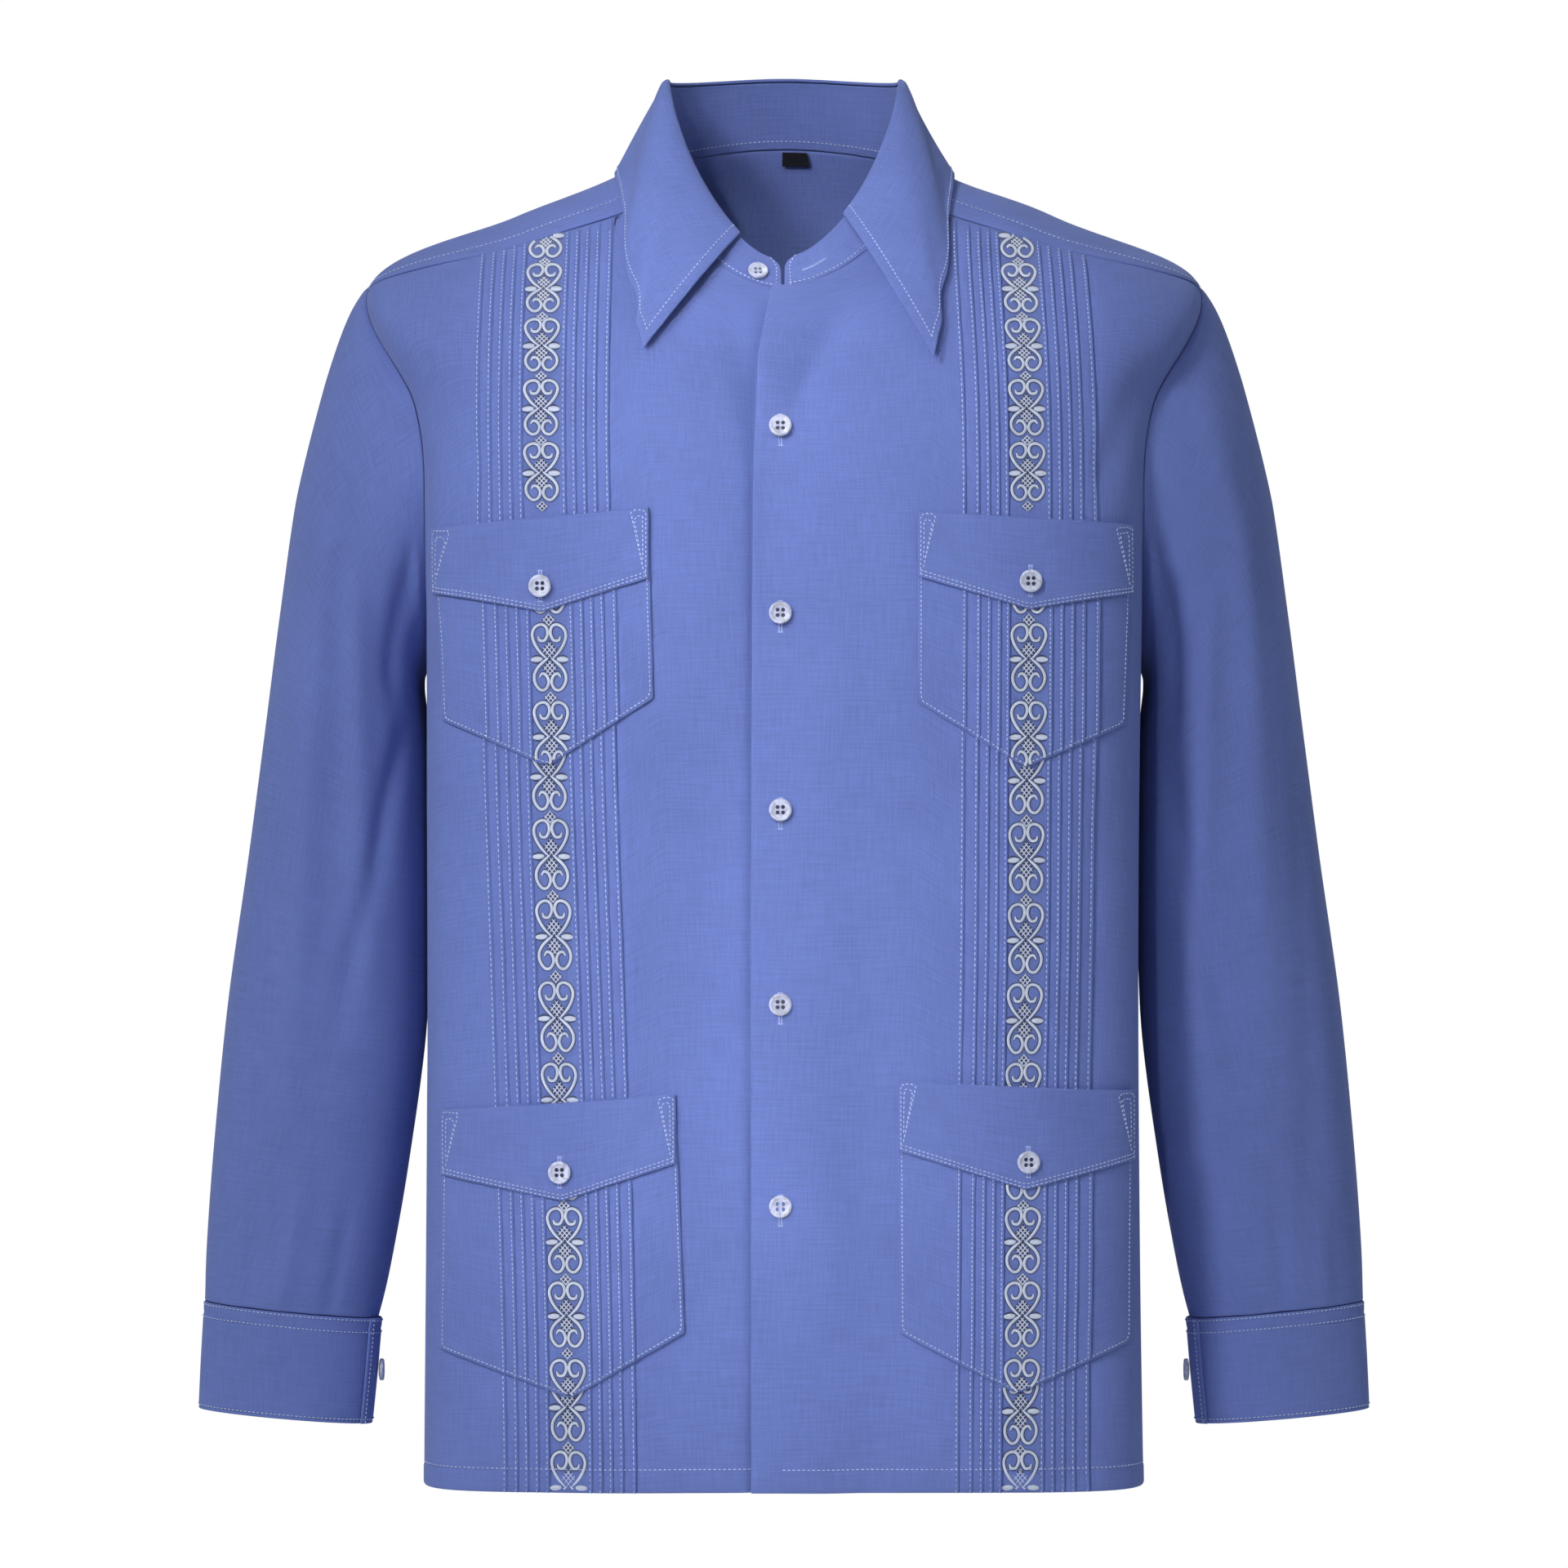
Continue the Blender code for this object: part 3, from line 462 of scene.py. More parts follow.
def makeThread(name, colour, roughness=0.5, ply=0.0006, sheen=0.2):
    stuff, tree, shader, place = newMaterial(name, mapped=False)
    twist = noiseNode(tree, place, 1 / ply)
    colourBy(tree, shader, twist, (0.30, 0.62), np.array(colour) * 0.62, colour)
    raiseBy(tree, shader, twist, 0.6, 0.0002)
    setFinish(shader, {"Roughness": roughness, "Sheen Weight": sheen})
    return stuff


def makeSatin(name, colour, dark):   # embroidery thread, lying side by side across each stroke
    stuff, tree, shader, place = newMaterial(name)
    strand = threads(tree, place, 0, 0.00042)
    # the colour darkens in the grooves between the strands as painted shade, and varies at random with the noise
    grooveShadeAndTone = mathNode(tree, "ADD", mathNode(tree, "MULTIPLY", strand, 0.28), noiseNode(tree, place, 1800))
    colourBy(tree, shader, grooveShadeAndTone, (0.14, 0.52), dark, colour)
    raiseBy(tree, shader, strand, 0.7, 0.00016)
    setFinish(shader, {"Roughness": 0.36, "Sheen Weight": 0.25})
    return stuff


def makePearl(name, colour):
    stuff, tree, shader, place = newMaterial(name, mapped=False)
    swirl = noiseNode(tree, place, 160, distortion=1.6)
    colourBy(tree, shader, swirl, (0.35, 0.68), np.array(colour) * 0.70, np.array(colour) * 1.16)
    setFinish(shader, {"Roughness": 0.22, "Coat Weight": 0.5, "Coat Roughness": 0.12})
    return stuff


clothBlue = makePoplin("bluePoplin", poplin)
labelSatin = makePoplin("blackSatinTab", {**poplin, "colour": (0.010, 0.010, 0.014), "sheen": 0.1, "roughness": 0.5})
seamThread = makeThread("seamThread", (0.66, 0.76, 1.0), ply=0.0012)
holeThread = makeThread("buttonholeThread", (0.42, 0.52, 0.90))
# thread under each button, coloured near-black navy: partly the real thread, partly painted shade inside the button
# holes
threadAndHoleShade = makeThread("shankThreadAndHoleShade", (0.030, 0.042, 0.120), roughness=0.6, sheen=0.1)
# the second colour is the painted shade in the grooves between the strands
satinThread = makeSatin("satinThread", (0.90, 0.95, 1.0), (0.50, 0.60, 0.98))
# painted shadow: near-black navy material for the layer under the satin and the ground under the lattice bars, standing
# for the shade there
paintedShadowThread = makeSatin("paintedShadowUnderlay", (0.040, 0.058, 0.175), (0.026, 0.038, 0.120))
pearl = makePearl("pearlyButton", (0.62, 0.65, 0.82))
print("finishes made")


# stitches: a node tree that lays thread along a path
def stitchTree(name):
    tree = bpy.data.node_groups.new(name, "GeometryNodeTree")
    face = tree.interface
    face.new_socket("Geometry", in_out="INPUT", socket_type="NodeSocketGeometry")
    for label, kind in (("pitch", "NodeSocketFloat"), ("stitchLength", "NodeSocketFloat"),
                        ("stitchWidth", "NodeSocketFloat"), ("thread", "NodeSocketMaterial")):
        face.new_socket(label, in_out="INPUT", socket_type=kind)
    face.new_socket("Geometry", in_out="OUTPUT", socket_type="NodeSocketGeometry")
    add = tree.nodes.new
    given, result, toCurve, points, bead, stretch, turn, place, real, finish = (add(kind) for kind in (
        "NodeGroupInput", "NodeGroupOutput", "GeometryNodeMeshToCurve", "GeometryNodeCurveToPoints",
        "GeometryNodeMeshUVSphere", "ShaderNodeCombineXYZ", "FunctionNodeAlignRotationToVector",
        "GeometryNodeInstanceOnPoints", "GeometryNodeRealizeInstances", "GeometryNodeSetMaterial"))
    points.mode, turn.axis = "LENGTH", "Z"
    bead.inputs["Segments"].default_value, bead.inputs["Rings"].default_value = 5, 3
    bead.inputs["Radius"].default_value = 0.5
    for source, target in (
            (given.outputs["Geometry"], toCurve.inputs["Mesh"]), (toCurve.outputs[0], points.inputs["Curve"]),
            (given.outputs["pitch"], points.inputs["Length"]), (given.outputs["stitchWidth"], stretch.inputs[0]),
            (given.outputs["stitchWidth"], stretch.inputs[1]), (given.outputs["stitchLength"], stretch.inputs[2]),
            (points.outputs["Tangent"], turn.inputs["Vector"]), (points.outputs["Points"], place.inputs["Points"]),
            (bead.outputs["Mesh"], place.inputs["Instance"]), (turn.outputs[0], place.inputs["Rotation"]),
            (stretch.outputs[0], place.inputs["Scale"]), (place.outputs[0], real.inputs[0]),
            (real.outputs[0], finish.inputs["Geometry"]), (given.outputs["thread"], finish.inputs["Material"]),
            (finish.outputs[0], result.inputs[0])):
        tree.links.new(source, target)
    return tree


stitching = stitchTree("threadAlongPath")


def stitchLines(name, paths, pitch=0.0030, length=0.0024, width=0.00072, thread=seamThread):
    mesh = bpy.data.meshes.new(name)
    edges, start = [], 0
    for path in paths:
        edges += [(k, k + 1) for k in range(start, start + len(path) - 1)]
        start += len(path)
    mesh.from_pydata(np.concatenate(paths).tolist(), edges, [])
    line = bpy.data.objects.new(name, mesh)
    bpy.context.scene.collection.objects.link(line)
    worker = line.modifiers.new("stitches", "NODES")
    worker.node_group = stitching
    sockets = {s.name: s.identifier for s in stitching.interface.items_tree if s.in_out == "INPUT"}
    for label, value in (("pitch", pitch), ("stitchLength", length), ("stitchWidth", width), ("thread", thread)):
        worker[sockets[label]] = value
    made = bpy.data.meshes.new_from_object(line.evaluated_get(bpy.context.evaluated_depsgraph_get()))
    line.modifiers.clear()
    line.data = made
    bpy.data.meshes.remove(mesh)
    made.name = name
    made.shade_smooth()
    settle(line, "cloth")
    return line


# the tucks: where the middle of each group pair runs, and the stitch lines beside it
hemSteps = (0.0145, 0.0165, 0.0185, 0.0205)   # rows at the step of the turned hem
tucks = {
    "left": {"z": (-0.057, -0.107, -0.150, -0.285, -0.459, -0.522, -0.723),
             "x": (0.1290, 0.1322, 0.1336, 0.1330, 0.1323, 0.1308, 0.1296),
             "lines": (-0.0353, -0.0277, -0.0219, -0.0165, -0.0116, 0.0116, 0.0174, 0.0232, 0.0291, 0.0367)},
    "right": {"z": (-0.060, -0.120, -0.205, -0.285, -0.375, -0.406, -0.459, -0.522, -0.593, -0.723),
              "x": (-0.1325, -0.1338, -0.1325, -0.1300, -0.1282, -0.1266, -0.1250, -0.1229, -0.1207, -0.1180),
              "lines": (-0.0356, -0.0292, -0.0234, -0.0176, -0.0118, 0.0119, 0.0175, 0.0232, 0.0290, 0.0358)},
    "profile": ((-0.0018, 0.0), (-0.0006, 0.00025), (0.0, 0.00008), (0.0006, 0.00060), (0.0012, 0.00085),
                (0.00145, -0.00060), (0.0024, 0.0)),
    "lastFold": 1.5,      # the outermost fold of each group stands this much higher
}


def tuckCentre(word, z):
    order = np.array(tucks[word]["z"])[::-1], np.array(tucks[word]["x"])[::-1]
    fine = np.linspace(order[0][0], order[0][-1], 60)
    rough = np.interp(fine, *order)
    soft = np.convolve(np.pad(rough, 4, mode="edge"), np.ones(9) / 9, "valid")
    return np.interp(z, fine, soft)


def tuckColumns(word):   # offsets of the columns from the middle of the group, and their heights
    columns = [(-0.0060, 0.0), (0.0, 0.0), (0.0062, 0.0)]
    for k, line in enumerate(tucks[word]["lines"]):
        strong = tucks["lastFold"] if k in (4, 9) else 1.0
        columns += [(line + step, high * strong) for step, high in tucks["profile"]]
    offsets, heights = np.array(sorted(columns, key=lambda column: column[0])).T
    return (offsets, heights) if word == "left" else (offsets[::-1], heights[::-1])   # from the centre outwards


def frontGrid(word, rows=190, inner=26, outer=22):
    side = 1 if word == "left" else -1
    offsets, heights = tuckColumns(word)
    up = np.sort(np.r_[np.linspace(0, 1, rows), hemSteps])

    def tuckAngle(level, offset):
        z = trunkPoint(level, 40.0)[..., 2]
        for _ in range(4):
            angle = angleAt(level, np.abs(tuckCentre(word, z) + offset))
            z = trunkPoint(level, angle)[..., 2]
        return angle

    low, high = np.full(len(offsets), 6.0), np.full(len(offsets), 9.0)      # where each column meets the yoke seam
    for _ in range(26):
        topLevel = (low + high) / 2
        short = seamLevel(tuckAngle(topLevel, offsets)) > topLevel
        low, high = np.where(short, topLevel, low), np.where(short, high, topLevel)
    level = up[:, None] * topLevel
    angle = tuckAngle(level, offsets * np.ones((len(up), 1)))

    # the top edge runs along the neck, then along the yoke seam
    neckEdge = -0.0067 if side > 0 else -0.0060
    seamRow, seamAt = yokeFront(np.linspace(0, 1, 900))
    topPath = np.r_[np.linspace(float(angleAt(np.array(row["neck"]), np.array(neckEdge))), 57.0, 600), seamAt[1:]]
    topPathLevel = np.r_[np.full(600, row["neck"]), seamRow[1:]]
    run = runOf(trunkPoint(topPathLevel, topPath))
    runFirst, runLast = (np.interp(-topLevel[k], -topPathLevel[599:], run[599:]) for k in (0, -1))
    toTop = ease((up - 0.45) / 0.55)[:, None]

    # from the centre edge to the first tuck, with closer columns where the upper edge lies on the right front
    if side < 0:
        inner += 18
        share = np.interp(np.linspace(0, 1, inner + 1)[:-1], (0, 0.10, 0.70, 1), (0, 0.12, 0.46, 1))
    else:
        share = np.linspace(0, 1, inner + 1)[:-1]
    levelA = up[:, None] * np.interp(share * runFirst, run, topPathLevel)
    topA = np.interp(share * runFirst, run, topPath)
    zEdge = trunkPoint(levelA[:, 0], 0.0 * up)[:, 2]
    edgeX = overEdge(zEdge) if side > 0 else np.interp(zEdge, (-0.19, -0.078), (-overlapHalf, neckEdge))
    first = angleAt(levelA, edgeX[:, None] * np.ones(inner))
    tuckSide = tuckAngle(np.minimum(levelA, topLevel[0]), np.full(levelA.shape, offsets[0]))
    topShare = (topA - first[-1]) / (tuckSide[-1] - first[-1])
    angleA = first + (tuckSide - first) * (share * (1 - toTop) + topShare * toTop)

    # from the last tuck to the side seam and armhole
    share = np.linspace(0, 1, outer + 1)[1:]
    topB = np.interp(runLast + (run[-1] - runLast) * share, run, topPath)
    levelB = up[:, None] * np.interp(runLast + (run[-1] - runLast) * share, run, topPathLevel)
    lastTuck = tuckAngle(np.minimum(levelB, topLevel[-1]), np.full(levelB.shape, offsets[-1]))
    edge = armholeAngle(levelB)
    topShare = (topB - lastTuck[-1]) / (edge[-1] - lastTuck[-1])
    angleB = lastTuck + (edge - lastTuck) * (share * (1 - toTop) + topShare * toTop)
    high = np.r_[np.zeros(inner), heights, np.zeros(outer)]
    return np.concatenate([levelA, level, levelB], 1), np.concatenate([angleA, angle, angleB], 1) * side, high, up


def frontPiece(word):
    level, angle, high, up = frontGrid(word)
    nearTop = np.clip((1 - up) / 0.012, 0, 1)[:, None]
    hemStep = np.interp(up, hemSteps[1:3], (0.0003, 0.0))[:, None]
    # the turned armhole edge stands up a little where it lies over the sleeve
    edge = np.clip(1 - np.abs(armholeAngle(level) - np.abs(angle)) / 1.6, 0, 1) * (level > armhole["bottom"])
    extra = high * nearTop + hemStep + 0.0006 * edge
    over = np.full(level.shape, word == "left")
    outer, normal = onFront(level, angle, extra, over)
    flat, _ = onFront(level, angle, 0.0, over)
    piece = clothShell("cloth_front_" + word, outer, normal, clothWall, clothBlue, inner=flat - normal * clothWall)
    settle(piece, "cloth", "front_" + word)
    return piece, flat


def tuckPaths(word):
    paths = []
    for line in tucks[word]["lines"]:
        z = np.linspace(hemZ + 0.001, -0.045, 560)
        level, angle = frontSpot(tuckCentre(word, z) + line, z)
        keep = level < seamLevel(angle) - 0.02
        paths.append(onFront(level[keep], angle[keep], 0.00022)[0])
    return paths


sheets = []   # piece, grid of its cloth, how it is held, what it rests on, and whether it is a tube
for word in ("left", "right"):
    sheets.append((*frontPiece(word), "hung", ["yoke"], False))
for word in ("left", "right"):
    stitchLines("tuck_stitches_" + word, tuckPaths(word), pitch=0.0031, length=0.0020)
print("fronts made")

# the back, with the small tucks at its middle
backTucks = {"lines": (-0.0105, -0.0045, 0.0014, 0.0070, 0.0137), "height": 0.0006}
backFolds = {
    "right blade":  (-0.120, -0.130, -0.100, -0.330, 0.024, 0.0020),
    "left blade":   (0.125, -0.140, 0.098, -0.360, 0.026, 0.0022),
    "right long":   (-0.085, -0.330, -0.095, -0.690, 0.020, -0.0020),
    "left long":    (0.070, -0.300, 0.085, -0.720, 0.020, -0.0022),
    "right hem":    (-0.140, -0.560, -0.135, -0.741, 0.018, 0.0020),
    "left hem":     (0.150, -0.600, 0.145, -0.741, 0.018, 0.0018),
    "right arm":    (-0.190, -0.160, -0.160, -0.260, 0.010, -0.0020),
    "left arm":     (0.192, -0.150, 0.158, -0.250, 0.010, -0.0022),
}


def backSeam(share):
    tipLevel, tipAngle = (float(v) for v in armholePoint(seamBack))
    level = row["tip"] + 0.18 + (tipLevel - row["tip"] - 0.18) * np.abs(share) ** 1.6
    return level, 180 + share * (180 - tipAngle)


def backPiece(rows=130):
    up = np.sort(np.r_[np.linspace(0, 1, rows), hemSteps])[:, None]
    folds = np.array(sorted((x + step, high / 0.0007 * backTucks["height"]) for x in backTucks["lines"]
                            for step, high in tucks["profile"]))
    middle = np.r_[-0.024, -0.018, folds[:, 0], 0.020, 0.024]
    high = np.r_[0, 0, folds[:, 1], 0, 0]
    out = np.linspace(0, 1, 34)[1:]
    topLevel, _ = backSeam(np.r_[-(0.09 + 0.91 * out[::-1]), np.linspace(-0.09, 0.09, len(middle)), 0.09 + 0.91 * out])
    level = up * topLevel
    a, b = len(out), len(out) + len(middle)
    angle = np.zeros(level.shape)
    angle[:, a:b] = 180 - angleAt(level[:, a:b], middle[::-1] * np.ones((len(up), 1)), square=7)
    edge = armholeAngle(level[:, [0, -1]], front=False)
    angle[:, :a] = angle[:, a:a + 1] + (edge[:, :1] - angle[:, a:a + 1]) * out[::-1]
    angle[:, b:] = angle[:, b - 1:b] + (360 - edge[:, 1:] - angle[:, b - 1:b]) * out
    base, normal = trunkPoint(level, angle), trunkNormal(level, angle)
    x, z = base[..., 0], base[..., 2]
    bySide = np.abs(180 - armholeAngle(level, front=False)) - np.abs(180 - angle)
    fade = ease(bySide / 8.0) * ease((topLevel - level) / 0.5)
    wave = 0.0008 * np.sin(x * 43 + 1.1 * np.sin(z * 8)) * np.clip((-z - 0.12) / 0.15, 0, 1)
    flat = base + normal * ((foldHeight(backFolds, x, z) + wave) * fade)[..., None]
    raised = np.interp(up, hemSteps[1:3], (0.0003, 0.0)) * np.ones(level.shape)
    raised[:, a:b] += high[::-1] * np.clip((1 - up) / 0.012, 0, 1)
    piece = clothShell("cloth_back", flat + normal * raised[..., None], normal, clothWall, clothBlue,
                       inner=flat - normal * clothWall)
    settle(piece, "cloth", "back_panel")
    return piece, flat


back, backFlat = backPiece()
sheets.append((back, backFlat, "hung", ["yoke"], False))
print("back made")

# the yoke over both shoulders
neckBack = (57.0, 70.0, 83.0, 97.0, 112.0, 129.0, 146.0, 163.0, 180.0)


def yokeGrid(rows=34, fine=8):
    at = np.linspace(0, 14, 14 * fine + 1)
    seamLevelAt, seamAngleAt = yokeFront(np.clip(1 - at / 6, 0, 1))
    halfLevel = np.where(at < 6, seamLevelAt, row["neck"])
    halfAngle = np.where(at < 6, seamAngleAt, np.interp(at, np.arange(6, 15), neckBack))
    halfShare = np.interp(at, (0, 6, 14), (-1, -0.60, 0))
    frontLevel, frontAngle = np.r_[halfLevel, halfLevel[-2::-1]], np.r_[halfAngle, 360 - halfAngle[-2::-1]]
    backLevel, backAngle = backSeam(np.r_[halfShare, -halfShare[-2::-1]])
    down = np.linspace(0, 1, rows)[:, None]
    level = frontLevel + (backLevel - frontLevel) * down
    angle = frontAngle + (backAngle - frontAngle) * down
    rimLevel, rimAngle = armholePoint(seamTip + (seamBack - seamTip) * down)
    near = np.clip(1 - at / 1.0, 0, 1)
    near = np.r_[near, np.zeros(len(near) - 1)]
    level = level + (rimLevel - level[:, :1]) * near + (rimLevel - level[:, -1:]) * near[::-1]
    angle = angle + (rimAngle - angle[:, :1]) * near + (360 - rimAngle - angle[:, -1:]) * near[::-1]
    return level, angle


def pullIn(points, sides, gap):
    points = points.copy()
    for side in sides:
        lines = {"low": points, "high": points[::-1], "start": points.swapaxes(0, 1),
                 "end": points.swapaxes(0, 1)[::-1]}[side]
        step = lines[1] - lines[0]
        lines[0] += step * gap / np.linalg.norm(step, axis=-1, keepdims=True)
    return points


yokeLevel, yokeAngle = yokeGrid()
yokeNormal = trunkNormal(yokeLevel, yokeAngle)
yokeHigh = 0.0005 + 0.0004 * np.sin(yokeLevel * 5.0 + np.radians(yokeAngle) * 3)
yokeOuter = pullIn(trunkPoint(yokeLevel, yokeAngle) + yokeNormal * yokeHigh[..., None],
                   ("low", "high", "start", "end"), 0.0003)
yoke = clothShell("cloth_yoke", yokeOuter, yokeNormal, clothWall, clothBlue)
settle(yoke, "cloth", "yoke")
sheets.append((yoke, yokeOuter, "draped", ["back_panel"], False))

# the sleeves: folds are given by turn and row, to turn and row, half width and height
sleeveTable = {   # outerX, outerZ, innerX, innerZ, centreY, halfDepth, square, loose
    "cap one":   (0.2435, -0.0795, 0.2062, -0.2960, 0.002, 0.0760, 2.2, 0.30),
    "cap two":   (0.2540, -0.0990, 0.2066, -0.3010, 0.003, 0.0750, 2.2, 0.58),
    "cap three": (0.2640, -0.1340, 0.2052, -0.3060, 0.004, 0.0740, 2.3, 0.85),
    "upper":     (0.2765, -0.1900, 0.2032, -0.3140, 0.006, 0.0730, 2.4, 1.0),
    "bicep":     (0.2865, -0.2600, 0.2018, -0.3350, 0.008, 0.0710, 2.5, 1.0),
    "above":     (0.2945, -0.3240, 0.2012, -0.3740, 0.009, 0.0680, 2.5, 1.0),
    "elbow":     (0.3035, -0.3950, 0.2010, -0.4260, 0.008, 0.0620, 2.5, 1.0),
    "below":     (0.3145, -0.4750, 0.2026, -0.4920, 0.004, 0.0540, 2.4, 1.0),
    "fore":      (0.3222, -0.5550, 0.2125, -0.5680, -0.001, 0.0450, 2.4, 1.0),
    "wrist":     (0.3265, -0.6130, 0.2225, -0.6240, -0.005, 0.0360, 2.3, 1.0),
    "end":       (0.3276, -0.6434, 0.2295, -0.6530, -0.007, 0.0290, 2.3, 1.0),
}
sleeveRows = np.array(list(sleeveTable.values()))
cuffRows = np.array(((0.3278, -0.6440, 0.2292, -0.6536, -0.007, 0.0288, 2.3, 1.0),
                     (0.3295, -0.6740, 0.2316, -0.6830, -0.008, 0.0275, 2.3, 1.0),
                     (0.3308, -0.7040, 0.2345, -0.7126, -0.009, 0.0268, 2.3, 1.0)))
cuffOverEnd, cuffLap = 150.0, 48.0
sleeveFolds = {   # turn 0 is the outer side of the arm, 90 its front, 180 the body side
    "left":  ((118, 1.2, 128, 5.0, 9, -0.0030), (96, 4.0, 118, 8.0, 9, 0.0032), (60, 2.2, 76, 7.6, 10, 0.0030),
              (132, 5.5, 96, 8.6, 7, -0.0034), (40, 6.0, 66, 9.6, 9, -0.0016), (84, 9.1, 88, 11.0, 6, -0.0018),
              (112, 9.4, 110, 11.0, 5, 0.0014), (58, 9.5, 60, 11.0, 5, 0.0014), (250, 2.0, 262, 7.0, 12, 0.0022),
              (300, 4.0, 284, 9.0, 10, -0.0022), (232, 6.0, 260, 9.4, 8, -0.0024)),
    "right": ((122, 1.2, 124, 4.6, 9, -0.0032), (92, 3.6, 112, 7.6, 9, 0.0030), (64, 3.0, 74, 8.4, 10, 0.0032),
              (136, 4.8, 100, 8.0, 7, -0.0034), (44, 5.6, 60, 9.2, 9, -0.0018), (90, 9.0, 84, 11.0, 6, 0.0016),
              (118, 9.2, 116, 11.0, 5, -0.0016), (62, 9.6, 64, 11.0, 5, -0.0014), (248, 1.8, 266, 6.6, 12, 0.0020),
              (296, 4.4, 280, 9.4, 10, -0.0020), (236, 6.4, 256, 9.8, 8, -0.0022)),
}


def sleeveRing(values, turn):
    outerX, outerZ, innerX, innerZ, centreY, depth, square = (values[..., k, None] for k in range(7))
    s, c = np.sin(np.radians(turn)), np.cos(np.radians(turn))
    r = (np.abs(s) ** square + np.abs(c) ** square) ** (-1 / square)
    x = (outerX + innerX) / 2 + (outerX - innerX) / 2 * c * r
    z = (outerZ + innerZ) / 2 + (outerZ - innerZ) / 2 * c * r
    return np.stack(np.broadcast_arrays(x, centreY - depth * s * r, z), -1)


def sleevePiece(word, rows=104, columns=112):
    side = 1 if word == "left" else -1
    turn = np.arange(columns) * 360 / columns
    at = np.concatenate([[0.0], np.linspace(0.25, len(sleeveRows), rows - 1)])
    free = sleeveRing(smoothRows(sleeveRows, at - 1), turn)
    loose = np.interp(at, np.arange(len(sleeveRows) + 1), np.r_[0, sleeveRows[:, 7]])[:, None, None]
    level, angle = armholePoint(turn)
    rim = trunkPoint(level, angle) + np.array([0.0006, 0, 0])
    grid = rim * (1 - loose) + free * loose
    normal = gridNormal(grid, True)
    normal *= np.sign((normal[4:, :, 0] * (grid[4:, :, 0] - grid[4:, :, 0].mean(1, keepdims=True))).sum())
    normal[0] = normal[0] * 0.4 + trunkNormal(level, angle) * 0.6
    normal = unit(normal)
    high = 0.0005 * np.sin(np.radians(turn) * 3 + at[:, None] * 0.9)
    for turn0, at0, turn1, at1, width, height in sleeveFolds[word]:
        along = (at[:, None] - at0) / (at1 - at0)
        off = (turn - (turn0 + (turn1 - turn0) * along)) / width
        ends = np.minimum(along + 0.15, 1.15 - along) / 0.35 if at1 < 11 else (along + 0.15) / 0.5
        high = high + height * np.exp(-off ** 2) * ease(ends)
    fade = np.clip(at / 1.2, 0, 1) * (0.35 + 0.65 * np.clip((11 - at) / 0.5, 0, 1))
    mirror = np.array([side, 1, 1])
    outer = pullIn(grid + normal * (high * fade[:, None])[..., None], ("low",), 0.0007)
    piece = clothShell("cloth_sleeve_" + word, outer * mirror, normal * mirror, clothWall, clothBlue, ring=True)
    settle(piece, "cloth", "sleeve_" + word)
    return piece, outer * mirror


armSheets = []
for word in ("left", "right"):
    armSheets.append((*sleevePiece(word), "hung", ["yoke", "front_" + word], True))


def cuffGrid(side, rows, columns):
    turn = np.linspace(cuffOverEnd, cuffOverEnd + 360 + cuffLap, columns)
    down = np.linspace(0, len(cuffRows) - 1, rows)
    base = sleeveRing(smoothRows(cuffRows, down), turn)
    across = sleeveRing(smoothRows(cuffRows, down), turn + 0.5) - base
    normal = unit(np.cross(across, (base[-1:] - base[:1])))
    normal *= np.sign((normal * (base - base.mean(1, keepdims=True))).sum())
    lift = (clothWall + layGap) * (1 - ease((turn - cuffOverEnd - cuffLap - 8) / 60))
    mirror = np.array([side, 1, 1])
    return (base + normal * lift[None, :, None]) * mirror, normal * mirror, turn


for word, side in (("left", 1), ("right", -1)):
    outer, normal, turn = cuffGrid(side, 30, 150)
    down = np.linspace(0, 1, 30)[:, None]
    seamDip = sum(-0.00035 * np.exp(-((down - share) / 0.02) ** 2) for share in (0.135, 0.96))
    raised = outer + normal * (seamDip + 0.0002 * np.sin(np.radians(turn) * 5))[..., None]
    piece = clothShell("cloth_cuff_" + word, raised, normal, clothWall, clothBlue)
    settle(piece, "cloth", "cuff_" + word)
    armSheets.append((piece, outer, "hung", ["sleeve_" + word], False))
    lines = [(outer[0] + (outer[-1] - outer[0]) * share + normal[0] * 0.0002)[1:-1] for share in (0.022, 0.135, 0.960)]
    lines.append((outer[:, 2] * 0.7 + outer[:, 1] * 0.3 + normal[:, 1] * 0.0002)[1:-1])
    stitchLines("cuff_stitches_" + word, lines, pitch=0.0024, length=0.0017)
print("sleeves and cuffs made")


# the collar: a stand with rounded ends, and a fall that rolls over it
fallEdge = {   # along, level, angle, lift
    "right point": (0.00, 7.00, -18.4, 0.0060),
    "right tip":   (0.05, 7.36, -21.3, 0.0050),
    "right front": (0.12, 7.95, -30.2, 0.0036),
    "right side":  (0.24, 8.62, -55.0, 0.0030),
    "right ridge": (0.34, 8.78, -90.0, 0.0030),
    "right back":  (0.42, 8.76, -135.0, 0.0030),
    "centre back": (0.50, 8.74, -180.0, 0.0030),
    "left back":   (0.58, 8.76, -225.0, 0.0030),
    "left ridge":  (0.66, 8.78, -270.0, 0.0032),
    "left side":   (0.76, 8.58, -305.0, 0.0038),
    "left front":  (0.88, 7.93, -328.4, 0.0050),
    "left tip":    (0.95, 7.26, -338.2, 0.0070),
    "left point":  (1.00, 6.83, -340.6, 0.0085),
}
fallStart, fallEnd = -0.0248, 0.0335     # where the two leaves leave the stand


